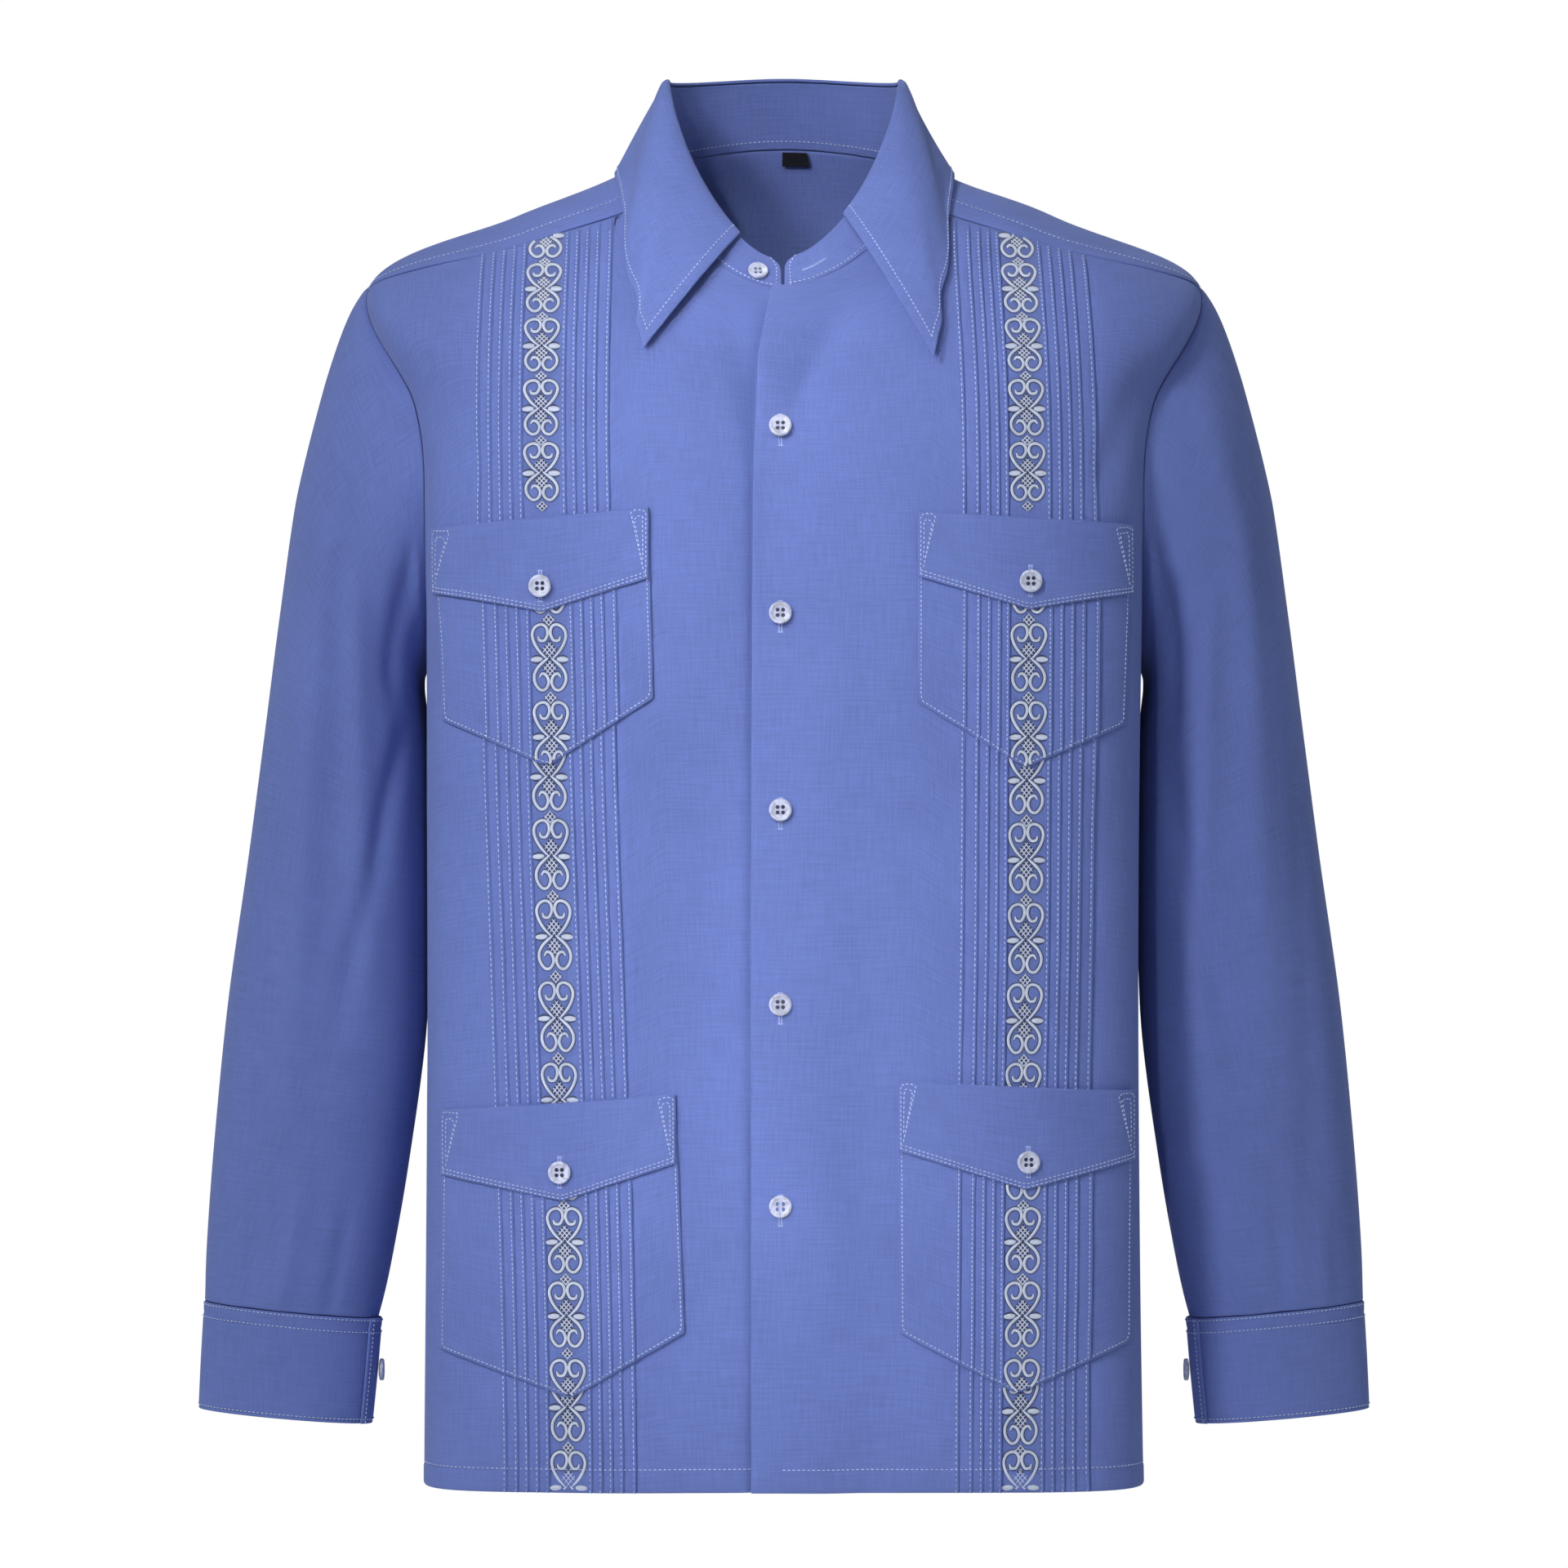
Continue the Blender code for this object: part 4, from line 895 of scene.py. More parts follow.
def standPiece(rows=26, fine=10):
    neckFront = np.array((0.0, 12.0, 22.0, 31.0, 40.0, 49.0, 57.0))
    around = np.r_[-neckFront[:-1], -np.array(neckBack), -360 + np.array(neckBack)[-2::-1], -360 + neckFront[-2::-1]]
    around = np.interp(np.linspace(0, len(around) - 1, (len(around) - 1) * fine + 1), np.arange(len(around)), around)
    level = np.linspace(row["neck"], row["fold"], rows)[:, None] * np.ones(len(around))
    angle = np.ones((rows, 1)) * around
    rounding = np.clip((level[:, 0] - row["neck"] - 0.5) / 0.5, 0, 1) ** 2 * 5.0
    first = angleAt(level[:, 0], np.array(-0.0014)) - rounding
    last = angleAt(level[:, 0], np.array(0.0004)) - 360 + rounding
    angle[:, :fine + 1] = first[:, None] + (angle[:, [fine]] - first[:, None]) * np.linspace(0, 1, fine + 1)
    angle[:, -fine - 1:] = angle[:, [-fine - 1]] + (last[:, None] - angle[:, [-fine - 1]]) * np.linspace(0, 1, fine + 1)
    base, normal = trunkPoint(level, angle), trunkNormal(level, angle)
    lift = np.where(np.mod(angle, 360) < 90, overlapLift(base[..., 0]), 0.0)[..., None]
    outer = pullIn(base + normal * lift, ("low",), 0.0003)
    piece = clothShell("cloth_collar_stand", outer, normal, clothWall, clothBlue)
    settle(piece, "cloth", "collar_stand")
    seam = outer + normal * 0.0002
    inside = outer[3, 40:-40] - normal[3, 40:-40] * (clothWall + 0.0002)
    return piece, outer, [seam[2, 2:-2], seam[1:-2, 2], seam[1:-2, -3], inside]


stand, standOuter, standLines = standPiece()


def fallPiece(columns=230, rows=46, inset=0.0062):
    share = np.linspace(0, 1, columns)
    top = row["fold"]
    first, last = (float(angleAt(np.array(top), np.array(x))) for x in (fallStart, fallEnd))
    angle = first + (last - 360 - first) * share
    level = np.full(columns, top)
    crest, out = trunkPoint(level, angle), trunkNormal(level, angle)
    up = unit(crest - trunkPoint(level - 0.2, angle))
    crest = crest + out * np.where(np.mod(angle, 360) < 90, overlapLift(crest[:, 0]), 0)[:, None]
    stations = np.array(list(fallEdge.values()))
    nodes = np.interp(share, stations[:, 0], np.arange(len(stations)))
    edgeLevel, edgeAngle, edgeLift = np.moveaxis(smoothRows(stations[:, 1:], nodes), -1, 0)
    edge = trunkPoint(edgeLevel, edgeAngle) + trunkNormal(edgeLevel, edgeAngle) * edgeLift[:, None]
    # the roll over the stand, as distances outwards and upwards from its top edge
    outer = [crest + out * away + up * rise for away, rise in (
        (-0.9 * clothWall, 0.9 * (clothWall + layGap)), (-0.2 * clothWall, clothWall + layGap + 0.0004),
        (0.0008, clothWall + layGap + 0.0002), (0.0018, clothWall + layGap - 0.0007),
        (clothWall + layGap + 0.0011, -0.0004))]
    inner = [crest + out * away + up * rise for away, rise in (
        (-0.9 * clothWall, layGap), (-0.0001, layGap), (0.0004, layGap), (layGap + 0.0002, 0.0002),
        (layGap + 0.0011, -0.0006))]
    bow = (0.0030 + 0.0040 * np.clip(np.cos(np.radians(angle)), 0, 1))[:, None]
    start, bulk = outer[-1], len(inner)
    outer = np.array(outer + [start + (edge - start) * f + out * bow * np.sin(np.pi * f ** 0.75)
                              for f in np.linspace(0, 1, rows)[1:]])
    normal = gridNormal(outer)
    normal *= np.sign((normal[8] * out).sum())
    inner = np.concatenate([np.array(inner), (outer - normal * clothWall)[bulk:]])
    piece = clothShell("cloth_collar_fall", outer, normal, clothWall, clothBlue, inner=inner)
    settle(piece, "cloth", "collar_fall")

    # topstitching a set way inside the outer edge and the two fronts
    fromEdge = np.cumsum(steps(outer)[::-1], 0)[::-1]
    wide = steps(outer, 1)
    fromStart, fromEnd = np.cumsum(wide, 1), np.cumsum(wide[:, ::-1], 1)[:, ::-1]

    def between(here, after, part, high):
        return here + (after - here) * part + high * 0.0002

    edgeLine, startLine, endLine = [], [], []
    for k in range(columns):
        r = np.interp(-inset, -fromEdge[:, k], np.arange(len(fromEdge)))
        i = int(r)
        if fromStart[i, max(k - 1, 0)] > inset and fromEnd[i, min(k, columns - 2)] > inset:
            edgeLine.append(between(outer[i, k], outer[i + 1, k], r - i, normal[i, k]))
    for i in range(4, len(outer) - 1):
        for line, r in ((startLine, np.interp(inset, fromStart[i], np.arange(1, columns))),
                        (endLine, np.interp(-inset, -fromEnd[i], np.arange(columns - 1)))):
            k = int(r)
            if fromEdge[i, k] > inset:
                line.append(between(outer[i, k], outer[i, k + 1], r - k, normal[i, k]))
    return piece, outer, [np.array(line) for line in (startLine, endLine, edgeLine)]


fall, fallOuter, fallLines = fallPiece()
stitchLines("collar_stitches", standLines + fallLines, pitch=0.0026, length=0.0019)
sheets += [(stand, standOuter, "draped", ["yoke"], False), (fall, fallOuter, "folded", ["collar_stand"], False),
           *armSheets]
print("collar made")

# patch pockets with their pointed bands
# top inner and outer corners, low inner and outer corners, tip, then the band's low edge
pocketTable = {
    "upper_right": (0.0740, -0.2010, 0.1905, -0.2115, 0.0714, -0.3050, 0.1865, -0.3170,
                    0.1295, -0.3425, -0.2395, -0.2470, 0.1320, -0.2578),
    "upper_left":  (0.0732, -0.2030, 0.1895, -0.2095, 0.0732, -0.3073, 0.1865, -0.3193,
                    0.1318, -0.3430, -0.2384, -0.2473, 0.1338, -0.2564),
    "lower_right": (0.0594, -0.5222, 0.1870, -0.5312, 0.0545, -0.6530, 0.1890, -0.6632,
                    0.1170, -0.6887, -0.5599, -0.5670, 0.1214, -0.5804),
    "lower_left":  (0.0625, -0.5147, 0.1925, -0.5209, 0.0634, -0.6530, 0.1910, -0.6592,
                    0.1276, -0.6864, -0.5527, -0.5590, 0.1320, -0.5742),
}
pocketShift = {"upper_right": 0.0022, "upper_left": 0.0006, "lower_right": 0.0006, "lower_left": 0.0004}
pocketLift = layGap + pocketWall


def pocketLines(name, band):   # top and bottom edges as functions of x, and the side edges
    inX, inZ, outX, outZ, lowInX, lowInZ, lowOutX, lowOutZ, tipX, tipZ, bandInZ, bandOutZ, bandTipX, bandTipZ = \
        pocketTable[name]
    cornersX, cornersZ = ((inX, bandTipX, outX), (bandInZ, bandTipZ, bandOutZ)) if band else \
        ((lowInX, tipX, lowOutX), (lowInZ, tipZ, lowOutZ))

    def topLine(x):
        return inZ + (outZ - inZ) * (np.abs(x) - inX) / (outX - inX)

    def lowLine(x):
        return np.interp(np.abs(x), cornersX, cornersZ)

    return topLine, lowLine, (inX, outX, cornersX[0], cornersX[-1])


def pocketPiece(name, band):
    side = 1 if name.endswith("left") else -1
    word = "left" if side > 0 else "right"
    topLine, lowLine, (inX, outX, lowInX, lowOutX) = pocketLines(name, band)
    down = np.linspace(0, 1, 26 if band else 64)[:, None]
    if band:
        bend = (pocketTable[name][12] - inX) / (outX - inX)
        share = np.sort(np.r_[np.linspace(0, 1, 61), bend])
        x = (inX + (outX - inX) * share) * side * np.ones_like(down)
        z = topLine(x) + (lowLine(x) - topLine(x)) * down
        high = 0.0 * x
    else:
        offsets, heights = tuckColumns(word)
        offsets = offsets + pocketShift[name]

        def meet(line):
            z = np.full(len(offsets), -0.3)
            for _ in range(30):
                z = 0.4 * z + 0.6 * line(tuckCentre(word, z) + offsets)
            return z

        top, low = meet(topLine), meet(lowLine)
        z = top + (low - top) * down
        x = tuckCentre(word, z) + offsets

        def sideEdge(top, low):
            edgeX = (top + (low - top) * down) * side
            return edgeX, topLine(edgeX[:1]) + (lowLine(edgeX[-1:]) - topLine(edgeX[:1])) * down

        share = np.linspace(0, 1, 10)
        edgeX, edgeZ = sideEdge(inX, lowInX)
        xIn, zIn = edgeX + (x[:, :1] - edgeX) * share[:-1], edgeZ + (z[:, :1] - edgeZ) * share[:-1]
        edgeX, edgeZ = sideEdge(outX, lowOutX)
        xOut, zOut = x[:, -1:] + (edgeX - x[:, -1:]) * share[1:], z[:, -1:] + (edgeZ - z[:, -1:]) * share[1:]
        x, z = np.concatenate([xIn, x, xOut], 1), np.concatenate([zIn, z, zOut], 1)
        high = np.r_[np.zeros(9), heights, np.zeros(9)] * np.clip(np.minimum(down, 1 - down) / 0.02, 0, 1)
    flat, normal = frontSurface(x, z, pocketLift * (2 if band else 1), np.full(x.shape, side > 0))
    node = "pocket_" + ("band_" if band else "") + name
    piece = clothShell("cloth_" + node, flat + normal * high[..., None], normal, pocketWall, clothBlue,
                       inner=flat - normal * pocketWall)
    settle(piece, "cloth", node)
    return piece, flat


def runsWhere(keep):   # indices of each run of points to keep
    runs = np.split(np.arange(len(keep)), np.flatnonzero(np.diff(keep.astype(int)) != 0) + 1)
    return [run for run in runs if keep[run[0]] and len(run) > 1]


def pocketSeams(name):   # edge stitching, tuck stitching and the triangles at the upper corners
    side = 1 if name.endswith("left") else -1
    word = "left" if side > 0 else "right"
    _, lowLine, (inX, outX, lowInX, lowOutX) = pocketLines(name, False)
    bandTop, bandLow, _ = pocketLines(name, True)
    tipX, tipZ = pocketTable[name][8:10]
    bandTip = pocketTable[name][12]
    paths = []

    def lay(points, lift):
        points = np.array(points, float)
        run = runOf(points)
        fine = np.linspace(0, run[-1], max(8, int(run[-1] / 0.0035)))
        x, z = np.interp(fine, run, points[:, 0]) * side, np.interp(fine, run, points[:, 1])
        paths.append(frontSurface(x, z, lift + 0.0002, np.full(x.shape, side > 0))[0])

    inset = 0.0017
    lay([(inX + (lowInX - inX) * 0.3 + inset, float(bandLow(inX)) - 0.001),
         (lowInX + inset, float(lowLine(lowInX)) + inset * 0.8), (tipX, tipZ + inset * 1.15),
         (lowOutX - inset, float(lowLine(lowOutX)) + inset * 0.8),
         (outX + (lowOutX - outX) * 0.3 - inset, float(bandLow(outX)) - 0.001)], pocketLift)
    for inset in (0.0011, 0.0031):
        lay([(x, float(bandLow(at)) + inset) for x, at in
             ((inX + 0.002, inX), (bandTip, bandTip), (outX - 0.002, outX))], 2 * pocketLift)
    for edge, turn in ((inX, 1), (outX, -1)):
        top, low = float(bandTop(edge)) - 0.0012, float(bandLow(edge)) + 0.0016
        for corners in (((0.0014, low), (0.0014, top), (0.0098, top - 0.0006), (0.0030, low + 0.004)),
                        ((0.0030, low + 0.004), (0.0080, top - 0.004), (0.0032, top - 0.003), (0.0030, low + 0.009))):
            lay([(edge + turn * step, z) for step, z in corners], 2 * pocketLift)
    for line in tucks[word]["lines"]:
        z = np.linspace(-0.75, -0.18, 420)
        x = tuckCentre(word, z) + line + pocketShift[name]
        for run in runsWhere((z < bandLow(x) + 0.0028) & (z > lowLine(x) + 0.0012)):
            paths.append(frontSurface(x[run], z[run], pocketLift + 0.00022, np.full(len(run), side > 0))[0])
    return paths


pockets = {}
for name in pocketTable:
    for band in (False, True):
        pockets[name, band] = pocketPiece(name, band)
    stitchLines("pocket_stitches_" + name, pocketSeams(name), pitch=0.0025, length=0.0018)
print("pockets made")

# satin embroidery between the tucks: half of each motif is drawn, in mm from its middle, and mirrored
motif = {
    "satin": 0.00178, "height": 0.00060, "leafWidth": 0.0034, "barWidth": 0.00060,
    "scrolls": {
        "upper": ((-6.0, 13.0), (-5.2, 10.7), (-2.5, 10.7), (-0.8, 14.4), (-1.6, 18.3), (-4.4, 19.6), (-7.6, 18.0),
                  (-9.2, 14.2), (-8.3, 9.5), (-5.6, 4.6), (-1.6, 0.2)),
        "lower": ((-0.8, 0.6), (-4.0, -2.2), (-6.8, -5.2), (-8.6, -9.2), (-8.2, -13.8), (-5.4, -17.6), (-2.4, -17.0),
                  (-0.8, -13.2), (-2.0, -9.4), (-4.4, -8.4), (-5.8, -10.6)),
    },
    "leaf": ((-4.0, 0.0), (-7.0, -0.2), (-10.2, -0.4)),
    "lattices": ((5.2, 4.5, 5.4), (-5.2, 4.3, 5.4), (-22.0, 4.0, 3.7)),     # height, half width and half height
}


def satinStroke(points, width, taper=0.35, step=0.0011):
    points = np.array(points, float)
    count = max(4, int(steps(points).sum() / step))
    path = smoothRows(points, np.linspace(0, len(points) - 1, count + 1))
    share = np.linspace(0, 1, count + 1)
    thick = width * (taper + (1 - taper) * np.clip(np.minimum(share, 1 - share) / 0.10, 0, 1) ** 0.7)
    return path, thick


def latticeStrokes(centreZ, halfX, halfZ, gap=0.0025):
    strokes = []
    for turn in (1, -1):
        for shift in np.arange(-3, 4) * gap:
            t = np.linspace(-1.5, 1.5, 60) * max(halfX, halfZ)
            x, z = shift + t * 0.62, t * 0.78 * turn
            inside = np.abs(x) / halfX + np.abs(z) / halfZ < 1
            if inside.sum() > 5:
                x, z = x[inside], z[inside]
                strokes.append(((x[0], z[0] + centreZ), (x[-1], z[-1] + centreZ)))
    return strokes


def motifStrokes():
    strokes = []
    for half in (-1, 1):
        for points in motif["scrolls"].values():
            strokes.append(satinStroke([(-x * half * 1e-3, z * 1e-3) for x, z in points], motif["satin"]))
        path, _ = satinStroke([(-x * half * 1e-3, z * 1e-3) for x, z in motif["leaf"]], 1.0)
        share = np.clip(np.linspace(0, 1, len(path)), 0.04, 0.96)
        strokes.append((path, motif["leafWidth"] * (0.30 + 0.70 * np.sin(np.pi * share) ** 0.8)))
    for z, halfX, halfZ in np.array(motif["lattices"]) * 1e-3:      # painted shade: a dark ground under the open bars, made only in the painted-shadow layer
        upright = np.stack([np.zeros(9), z + np.linspace(-1, 1, 9) * halfZ], -1)
        strokes.append((upright, -2 * halfX * (1 - np.abs(np.linspace(-1, 1, 9)) * 0.92)))
        for ends in latticeStrokes(z, halfX, halfZ):
            strokes.append(satinStroke(ends, motif["barWidth"], 0.8, 0.0016))
    return strokes


def satinMesh(name, strokes, lift, over, stuff, spread=1.0, high=1.0):
    rise = np.array((0.05, 0.72, 1.0, 0.72, 0.05)) * motif["height"] * high
    acrossAt = np.array((-0.5, -0.30, 0.0, 0.30, 0.5)) * spread
    points, faces, uv, start = [], [], [], 0
    for path, width in strokes:
        shadedGround = width.max() < 0
        if len(path) < 2 or (spread > 1) != shadedGround and (shadedGround or width.max() < 0.0008):
            continue                                     # fine bars get no painted shadow line under them, and the painted-shade ground goes only into the dark layer
        width = np.abs(width)
        ahead = unit(np.gradient(path, axis=0))
        sideways = np.stack([-ahead[:, 1], ahead[:, 0]], -1)
        offsets = width[:, None] * (acrossAt / spread if shadedGround else acrossAt)
        grid = path[:, None] + sideways[:, None] * offsets[..., None]
        narrow = np.clip(width / motif["satin"], 0.45, 0.2 if shadedGround else 1.3)[:, None]
        spots, normal = onFront(*frontSpot(grid[..., 0], grid[..., 1]), lift, over)
        points.append((spots + normal * (rise * narrow)[..., None]).reshape(-1, 3))
        faces.append(gridQuads(quadGrid(len(path), 5, start=start)))
        uv.append(np.stack(np.broadcast_arrays(runOf(path)[:, None], acrossAt * width[:, None]), -1).reshape(-1, 2))
        start += len(path) * 5
    points, faces, uv = np.concatenate(points), np.concatenate(faces), np.concatenate(uv)
    a, b, c = (points[faces[:, k]] for k in range(3))
    wrong = np.cross(b - a, c - a)[:, 1] > 0
    faces[wrong] = faces[wrong][:, ::-1]
    return linkMesh(name, meshOf(name, points, faces, uv), stuff)


def embroiderBand(centreX, motifs, clip):
    strokes = motifStrokes()
    placed = []
    for z0, tall in motifs:
        for path, width in strokes:
            z = path[:, 1] * tall + z0
            x = path[:, 0] + centreX(z)
            placed += [(np.stack([x[run], z[run]], -1), width[run]) for run in runsWhere(clip(x, z))]
    return placed


def embroider(tag, placed, lift, over):   # the satin, and a painted shadow: a wider dark layer under it that stands for the line it casts
    for spread, stuff, high, layer in ((1.0, satinThread, 1.0, "satin"), (1.55, paintedShadowThread, 0.35, "under")):
        piece = satinMesh("embroidery_%s_%s" % (layer, tag), placed, lift, over, stuff, spread, high)
        settle(piece, "cloth")
        print("  embroidery", tag, layer, len(piece.data.polygons), "faces")


chestMotifs = ((-0.0461, 0.72), (-0.0781, 0.74), (-0.1110, 0.77), (-0.1461, 0.80), (-0.1817, 0.83))
embroidery = {   # heights of the motifs' middles, and how much the slope of the chest shortens them
    "left": chestMotifs + ((-0.3500, 1), (-0.3935, 1), (-0.4375, 1), (-0.4815, 1), (-0.5250, 1), (-0.6960, 1),
                           (-0.7380, 1)),
    "right": chestMotifs + ((-0.3480, 1), (-0.3915, 1), (-0.4355, 1), (-0.4803, 1), (-0.5250, 1), (-0.6940, 1),
                            (-0.7380, 1)),
    "upper_left": ((-0.2410, 0.96), (-0.2836, 0.96), (-0.3261, 0.96)),
    "upper_right": ((-0.2410, 0.96), (-0.2836, 0.96), (-0.3261, 0.96)),
    "lower_left": ((-0.5625, 0.93), (-0.6028, 0.93), (-0.6435, 0.93), (-0.6860, 0.93)),
    "lower_right": ((-0.5625, 0.93), (-0.6028, 0.93), (-0.6435, 0.93), (-0.6860, 0.93)),
}
for word in ("left", "right"):
    over = word == "left"
    upperTop, upperLow, _ = pocketLines("upper_" + word, False)
    lowerTop, lowerLow, _ = pocketLines("lower_" + word, False)

    def showsOnFront(x, z):
        level, angle = frontSpot(x, z)
        clear = level < seamLevel(angle) - 0.05
        behindUpper = (z < upperTop(x) - 0.002) & (z > upperLow(x) + 0.002)
        behindLower = (z < lowerTop(x) - 0.002) & (z > lowerLow(x) + 0.002)
        return clear & (z > hemZ + 0.0015) & ~behindUpper & ~behindLower

    embroider(word, embroiderBand(lambda z: tuckCentre(word, z), embroidery[word], showsOnFront), 0.0001, over)
    for name in ("upper_" + word, "lower_" + word):
        _, lowLine, _ = pocketLines(name, False)
        _, bandLow, _ = pocketLines(name, True)
        placed = embroiderBand(lambda z: tuckCentre(word, z) + pocketShift[name], embroidery[name],
                               lambda x, z: (z < bandLow(x) + 0.003) & (z > lowLine(x) + 0.0006))
        embroider(name, placed, pocketLift + 0.0001, over)
print("embroidery made")


# buttons: one four-hole button is turned, then set on each place of the CAD buttons
button = {"radius": 0.00625, "height": 0.0026, "floor": 0.56, "holeRadius": 0.00112, "holeSpread": 0.0021,
          "segments": 44, "shankRadius": 0.0038, "shankHeight": 0.0003}


def turnedButton():
    profile = np.array([(0.84, 0.0), (0.95, 0.10), (1.0, 0.34), (1.0, 0.66), (0.97, 0.86), (0.90, 0.98),
                        (0.82, 1.0), (0.75, 0.93), (0.68, 0.74), (0.60, 0.63), (0.46, 0.58)])
    turn = np.linspace(0, 2 * np.pi, button["segments"], endpoint=False)
    rings = [np.stack([r * button["radius"] * np.cos(turn), r * button["radius"] * np.sin(turn),
                       np.full(len(turn), h * button["height"])], -1) for r, h in profile]
    points = [(0, 0, 0), *np.concatenate(rings).tolist(), (0, 0, button["floor"] * button["height"])]
    faces, n = [], button["segments"]
    for k in range(n):
        after = (k + 1) % n
        faces.append((0, 1 + after, 1 + k))
        faces.append((len(points) - 1, 1 + (len(rings) - 1) * n + k, 1 + (len(rings) - 1) * n + after))
        for j in range(len(rings) - 1):
            a, b = 1 + j * n, 1 + (j + 1) * n
            faces.append((a + k, a + after, b + after, b + k))
    mesh = bpy.data.meshes.new("turnedButton")
    mesh.from_pydata(points, [], faces)
    blank = bpy.data.objects.new("turnedButton", mesh)
    bpy.context.scene.collection.objects.link(blank)
    drills = []
    for angle in np.pi * np.array((0.25, 0.75, 1.25, 1.75)):
        bpy.ops.mesh.primitive_cylinder_add(vertices=14, radius=button["holeRadius"], depth=0.01, location=(
            button["holeSpread"] * np.cos(angle), button["holeSpread"] * np.sin(angle), 0.001))
        drills.append(bpy.context.object)
        hole = blank.modifiers.new("hole", "BOOLEAN")
        hole.operation, hole.solver, hole.object = "DIFFERENCE", "EXACT", drills[-1]
    made = bpy.data.meshes.new_from_object(blank.evaluated_get(bpy.context.evaluated_depsgraph_get()))
    for spare in (*drills, blank):
        bpy.data.objects.remove(spare, do_unlink=True)
    made.shade_smooth()
    made.set_sharp_from_angle(angle=0.9)
    return made


blankButton = turnedButton()
print("button:", len(blankButton.polygons), "faces")


def buttonPlace(node):   # base, axis and radius from the CAD button itself
    mesh = bpy.data.objects[node].data
    spots = np.zeros(len(mesh.vertices) * 3, np.float32)
    mesh.vertices.foreach_get("co", spots)
    spots = spots.reshape(-1, 3).astype(float)
    centre = (spots.min(0) + spots.max(0)) / 2
    axis = np.linalg.svd(spots - spots.mean(0), full_matrices=False)[2][2]
    out = np.array((-np.sign(centre[0]), 0, 0)) if "cuff" in node else np.array((centre[0] * 0.5, -1.0, 0.1))
    axis = axis * np.sign(axis @ out)
    along = (spots - centre) @ axis
    radius = np.linalg.norm(spots - centre - np.outer(along, axis), axis=1).max()
    return centre + axis * along.min(), axis, radius


def shankMesh(name, sides=24):
    plug = bpy.data.meshes.new(name)
    turn = np.linspace(0, 2 * np.pi, sides + 1)[:-1]
    plug.from_pydata([(button["shankRadius"] * np.cos(a), button["shankRadius"] * np.sin(a), h)
                      for h in (-button["shankHeight"], button["shankHeight"]) for a in turn], [],
                     [tuple(range(sides, 2 * sides)), tuple(range(sides - 1, -1, -1)),
                      *((k, (k + 1) % sides, sides + (k + 1) % sides, sides + k) for k in range(sides))])
    return plug


for node in sorted(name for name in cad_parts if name.startswith("button_")):
    base, axis, radius = buttonPlace(node)
    zAxis = Vector(axis)
    xAxis = Vector((0, 0, 1)).cross(zAxis).normalized()
    place = Matrix((xAxis, zAxis.cross(xAxis), zAxis)).transposed().to_4x4()
    place.translation = Vector(base)
    mesh = blankButton.copy()
    mesh.transform(Matrix.Diagonal((radius / button["radius"],) * 2 + (1.0, 1.0)))
    mesh.transform(place)
    mesh.name = "pearl_" + node
    settle(linkMesh("pearl_" + node, mesh, pearl), "buttons", node)
    # a disc of thread under the button, coloured near-black navy: partly the thread, partly painted shade for the holes
    plug = shankMesh("shank_" + node)
    plug.transform(place)
    settle(linkMesh("shank_" + node, plug, threadAndHoleShade), "buttons")
print("buttons set")

# buttonholes: two thread bars and a slit, upright on the fronts, level on the stand
buttonholes = {"length": 0.0168, "bar": 0.0008, "gap": 0.0006, "tack": 0.0009, "tackReach": 0.0014,
               "drop": {"front": 0.0022, "pocket": 0.0}}
holeSpots = {"front": [(-0.0020, z, 0.0, True) for z in (-0.1565, -0.2582, -0.3659, -0.4726, -0.5833)],
             "pocket": [(0.1343, -0.2410, 2 * pocketLift, True), (0.1335, -0.5590, 2 * pocketLift, True),
                        (-0.1329, -0.2437, 2 * pocketLift, False), (-0.1227, -0.5646, 2 * pocketLift, False)]}
for group, places in holeSpots.items():
    for k, (x, z, lift, over) in enumerate(places):
        half, drop, tack = buttonholes["length"] / 2, buttonholes["drop"][group], buttonholes["tackReach"]
        bars = []
        for side in (-1, 1):
            barX = x + side * (buttonholes["gap"] / 2 + buttonholes["bar"] / 2)
            line = np.stack([np.full(16, barX), np.linspace(z - half, z + half, 16) - drop], -1)
            bars.append((line, np.full(16, buttonholes["bar"])))
        for end in (-1, 1):
            line = np.stack([np.linspace(x - tack, x + tack, 4), np.full(4, z + end * half - drop)], -1)
            bars.append((line, np.full(4, buttonholes["tack"])))
        piece = satinMesh("buttonhole_%s_%d" % (group, k + 1), bars, lift + 0.00005, over, holeThread, 1.0, 0.7)
        settle(piece, "cloth")
standHoleLevel = 9.36
bars = []
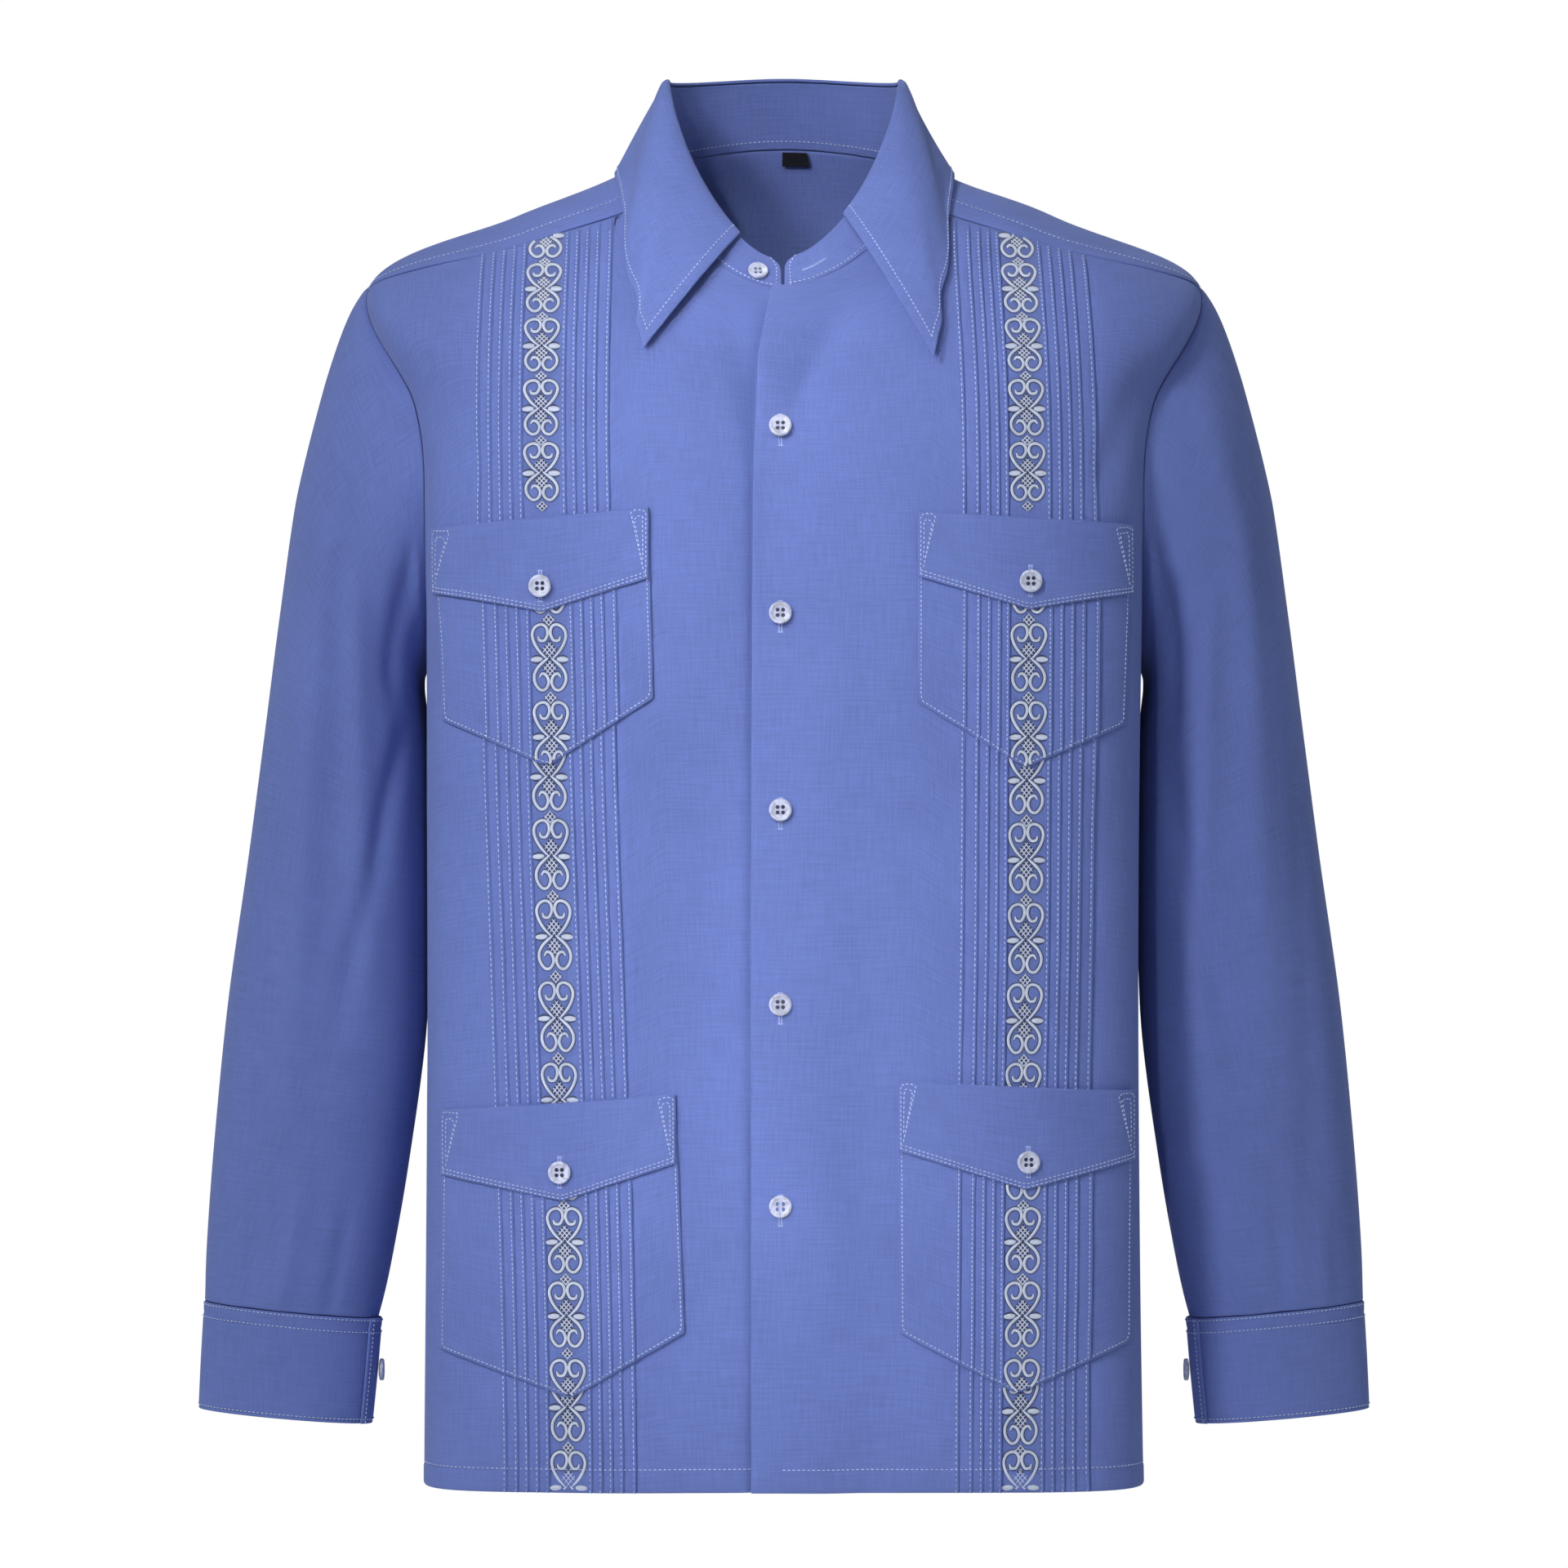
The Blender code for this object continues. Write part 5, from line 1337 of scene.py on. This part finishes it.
for step in (-0.014, 0.014):
    level = np.full(12, standHoleLevel + step)
    angle = angleAt(level, np.linspace(0.0105, 0.0235, 12))
    base, normal = trunkPoint(level, angle), trunkNormal(level, angle)
    bars.append(base + normal * (overlapLift(base[:, 0])[:, None] + 0.00005))
stitchLines("buttonhole_stand", bars, pitch=0.0006, length=0.0009, width=0.0009, thread=holeThread)

# the small woven tab inside the neck, left plain
tabShare = np.linspace(0, 1, 26)
tabLevel = row["neck"] - np.linspace(0.02, 0.20, 22)[:, None] * np.ones(26)
tabAngle = 180 - np.degrees(np.arctan2(-0.0010 + 0.0146 * tabShare, 0.083)) * np.ones((22, 1))
tabNormal = trunkNormal(tabLevel, tabAngle)
tabHigh = -(clothWall + 2 * layGap) + 0.0003 * np.sin(tabShare * np.pi) * np.linspace(0, 1, 22)[:, None]
tabOuter = trunkPoint(tabLevel, tabAngle) + tabNormal * tabHigh[..., None]
tab = clothShell("woven_tab", tabOuter, tabNormal, 0.0009, labelSatin)
settle(tab, "label", "size_label")

# the rest of the seams: hem and yoke
hemPaths = []
for side, shift in ((1, 0), (-1, -0.019)):
    x = np.linspace(0.0, 0.199, 260) * side + shift
    x = x[np.abs(x) < 0.1995]
    hemPaths.append(frontSurface(x, np.full(x.shape, hemZ + 0.0130), 0.0004, np.full(x.shape, side > 0))[0])
stitchLines("hem_stitches", hemPaths, pitch=0.0027, length=0.0019)
backHem = backFlat[6]
stitchLines("back_hem_stitches", [backHem + unit(backHem * (1, 1, 0)) * 0.0005], pitch=0.0027, length=0.0019)
yokeSeam = yokeOuter + yokeNormal * 0.0002
stitchLines("yoke_stitches", [yokeSeam[3, :52], yokeSeam[3, -52:], yokeSeam[-3, 2:-2]], pitch=0.0027, length=0.0019)
print("seams made")

# the pockets join the list of cloth pieces, each with the grid of its cloth
for (name, band), (piece, grid) in pockets.items():
    sheets.append((piece, grid, "hung", ["front_left" if name.endswith("left") else "front_right"], False))

shown = [piece for piece in bpy.data.objects if piece.type == "MESH" and not piece.hide_render]
triangles = sum(len(face.vertices) - 2 for piece in shown for face in piece.data.polygons)
print("triangles shown:", triangles)
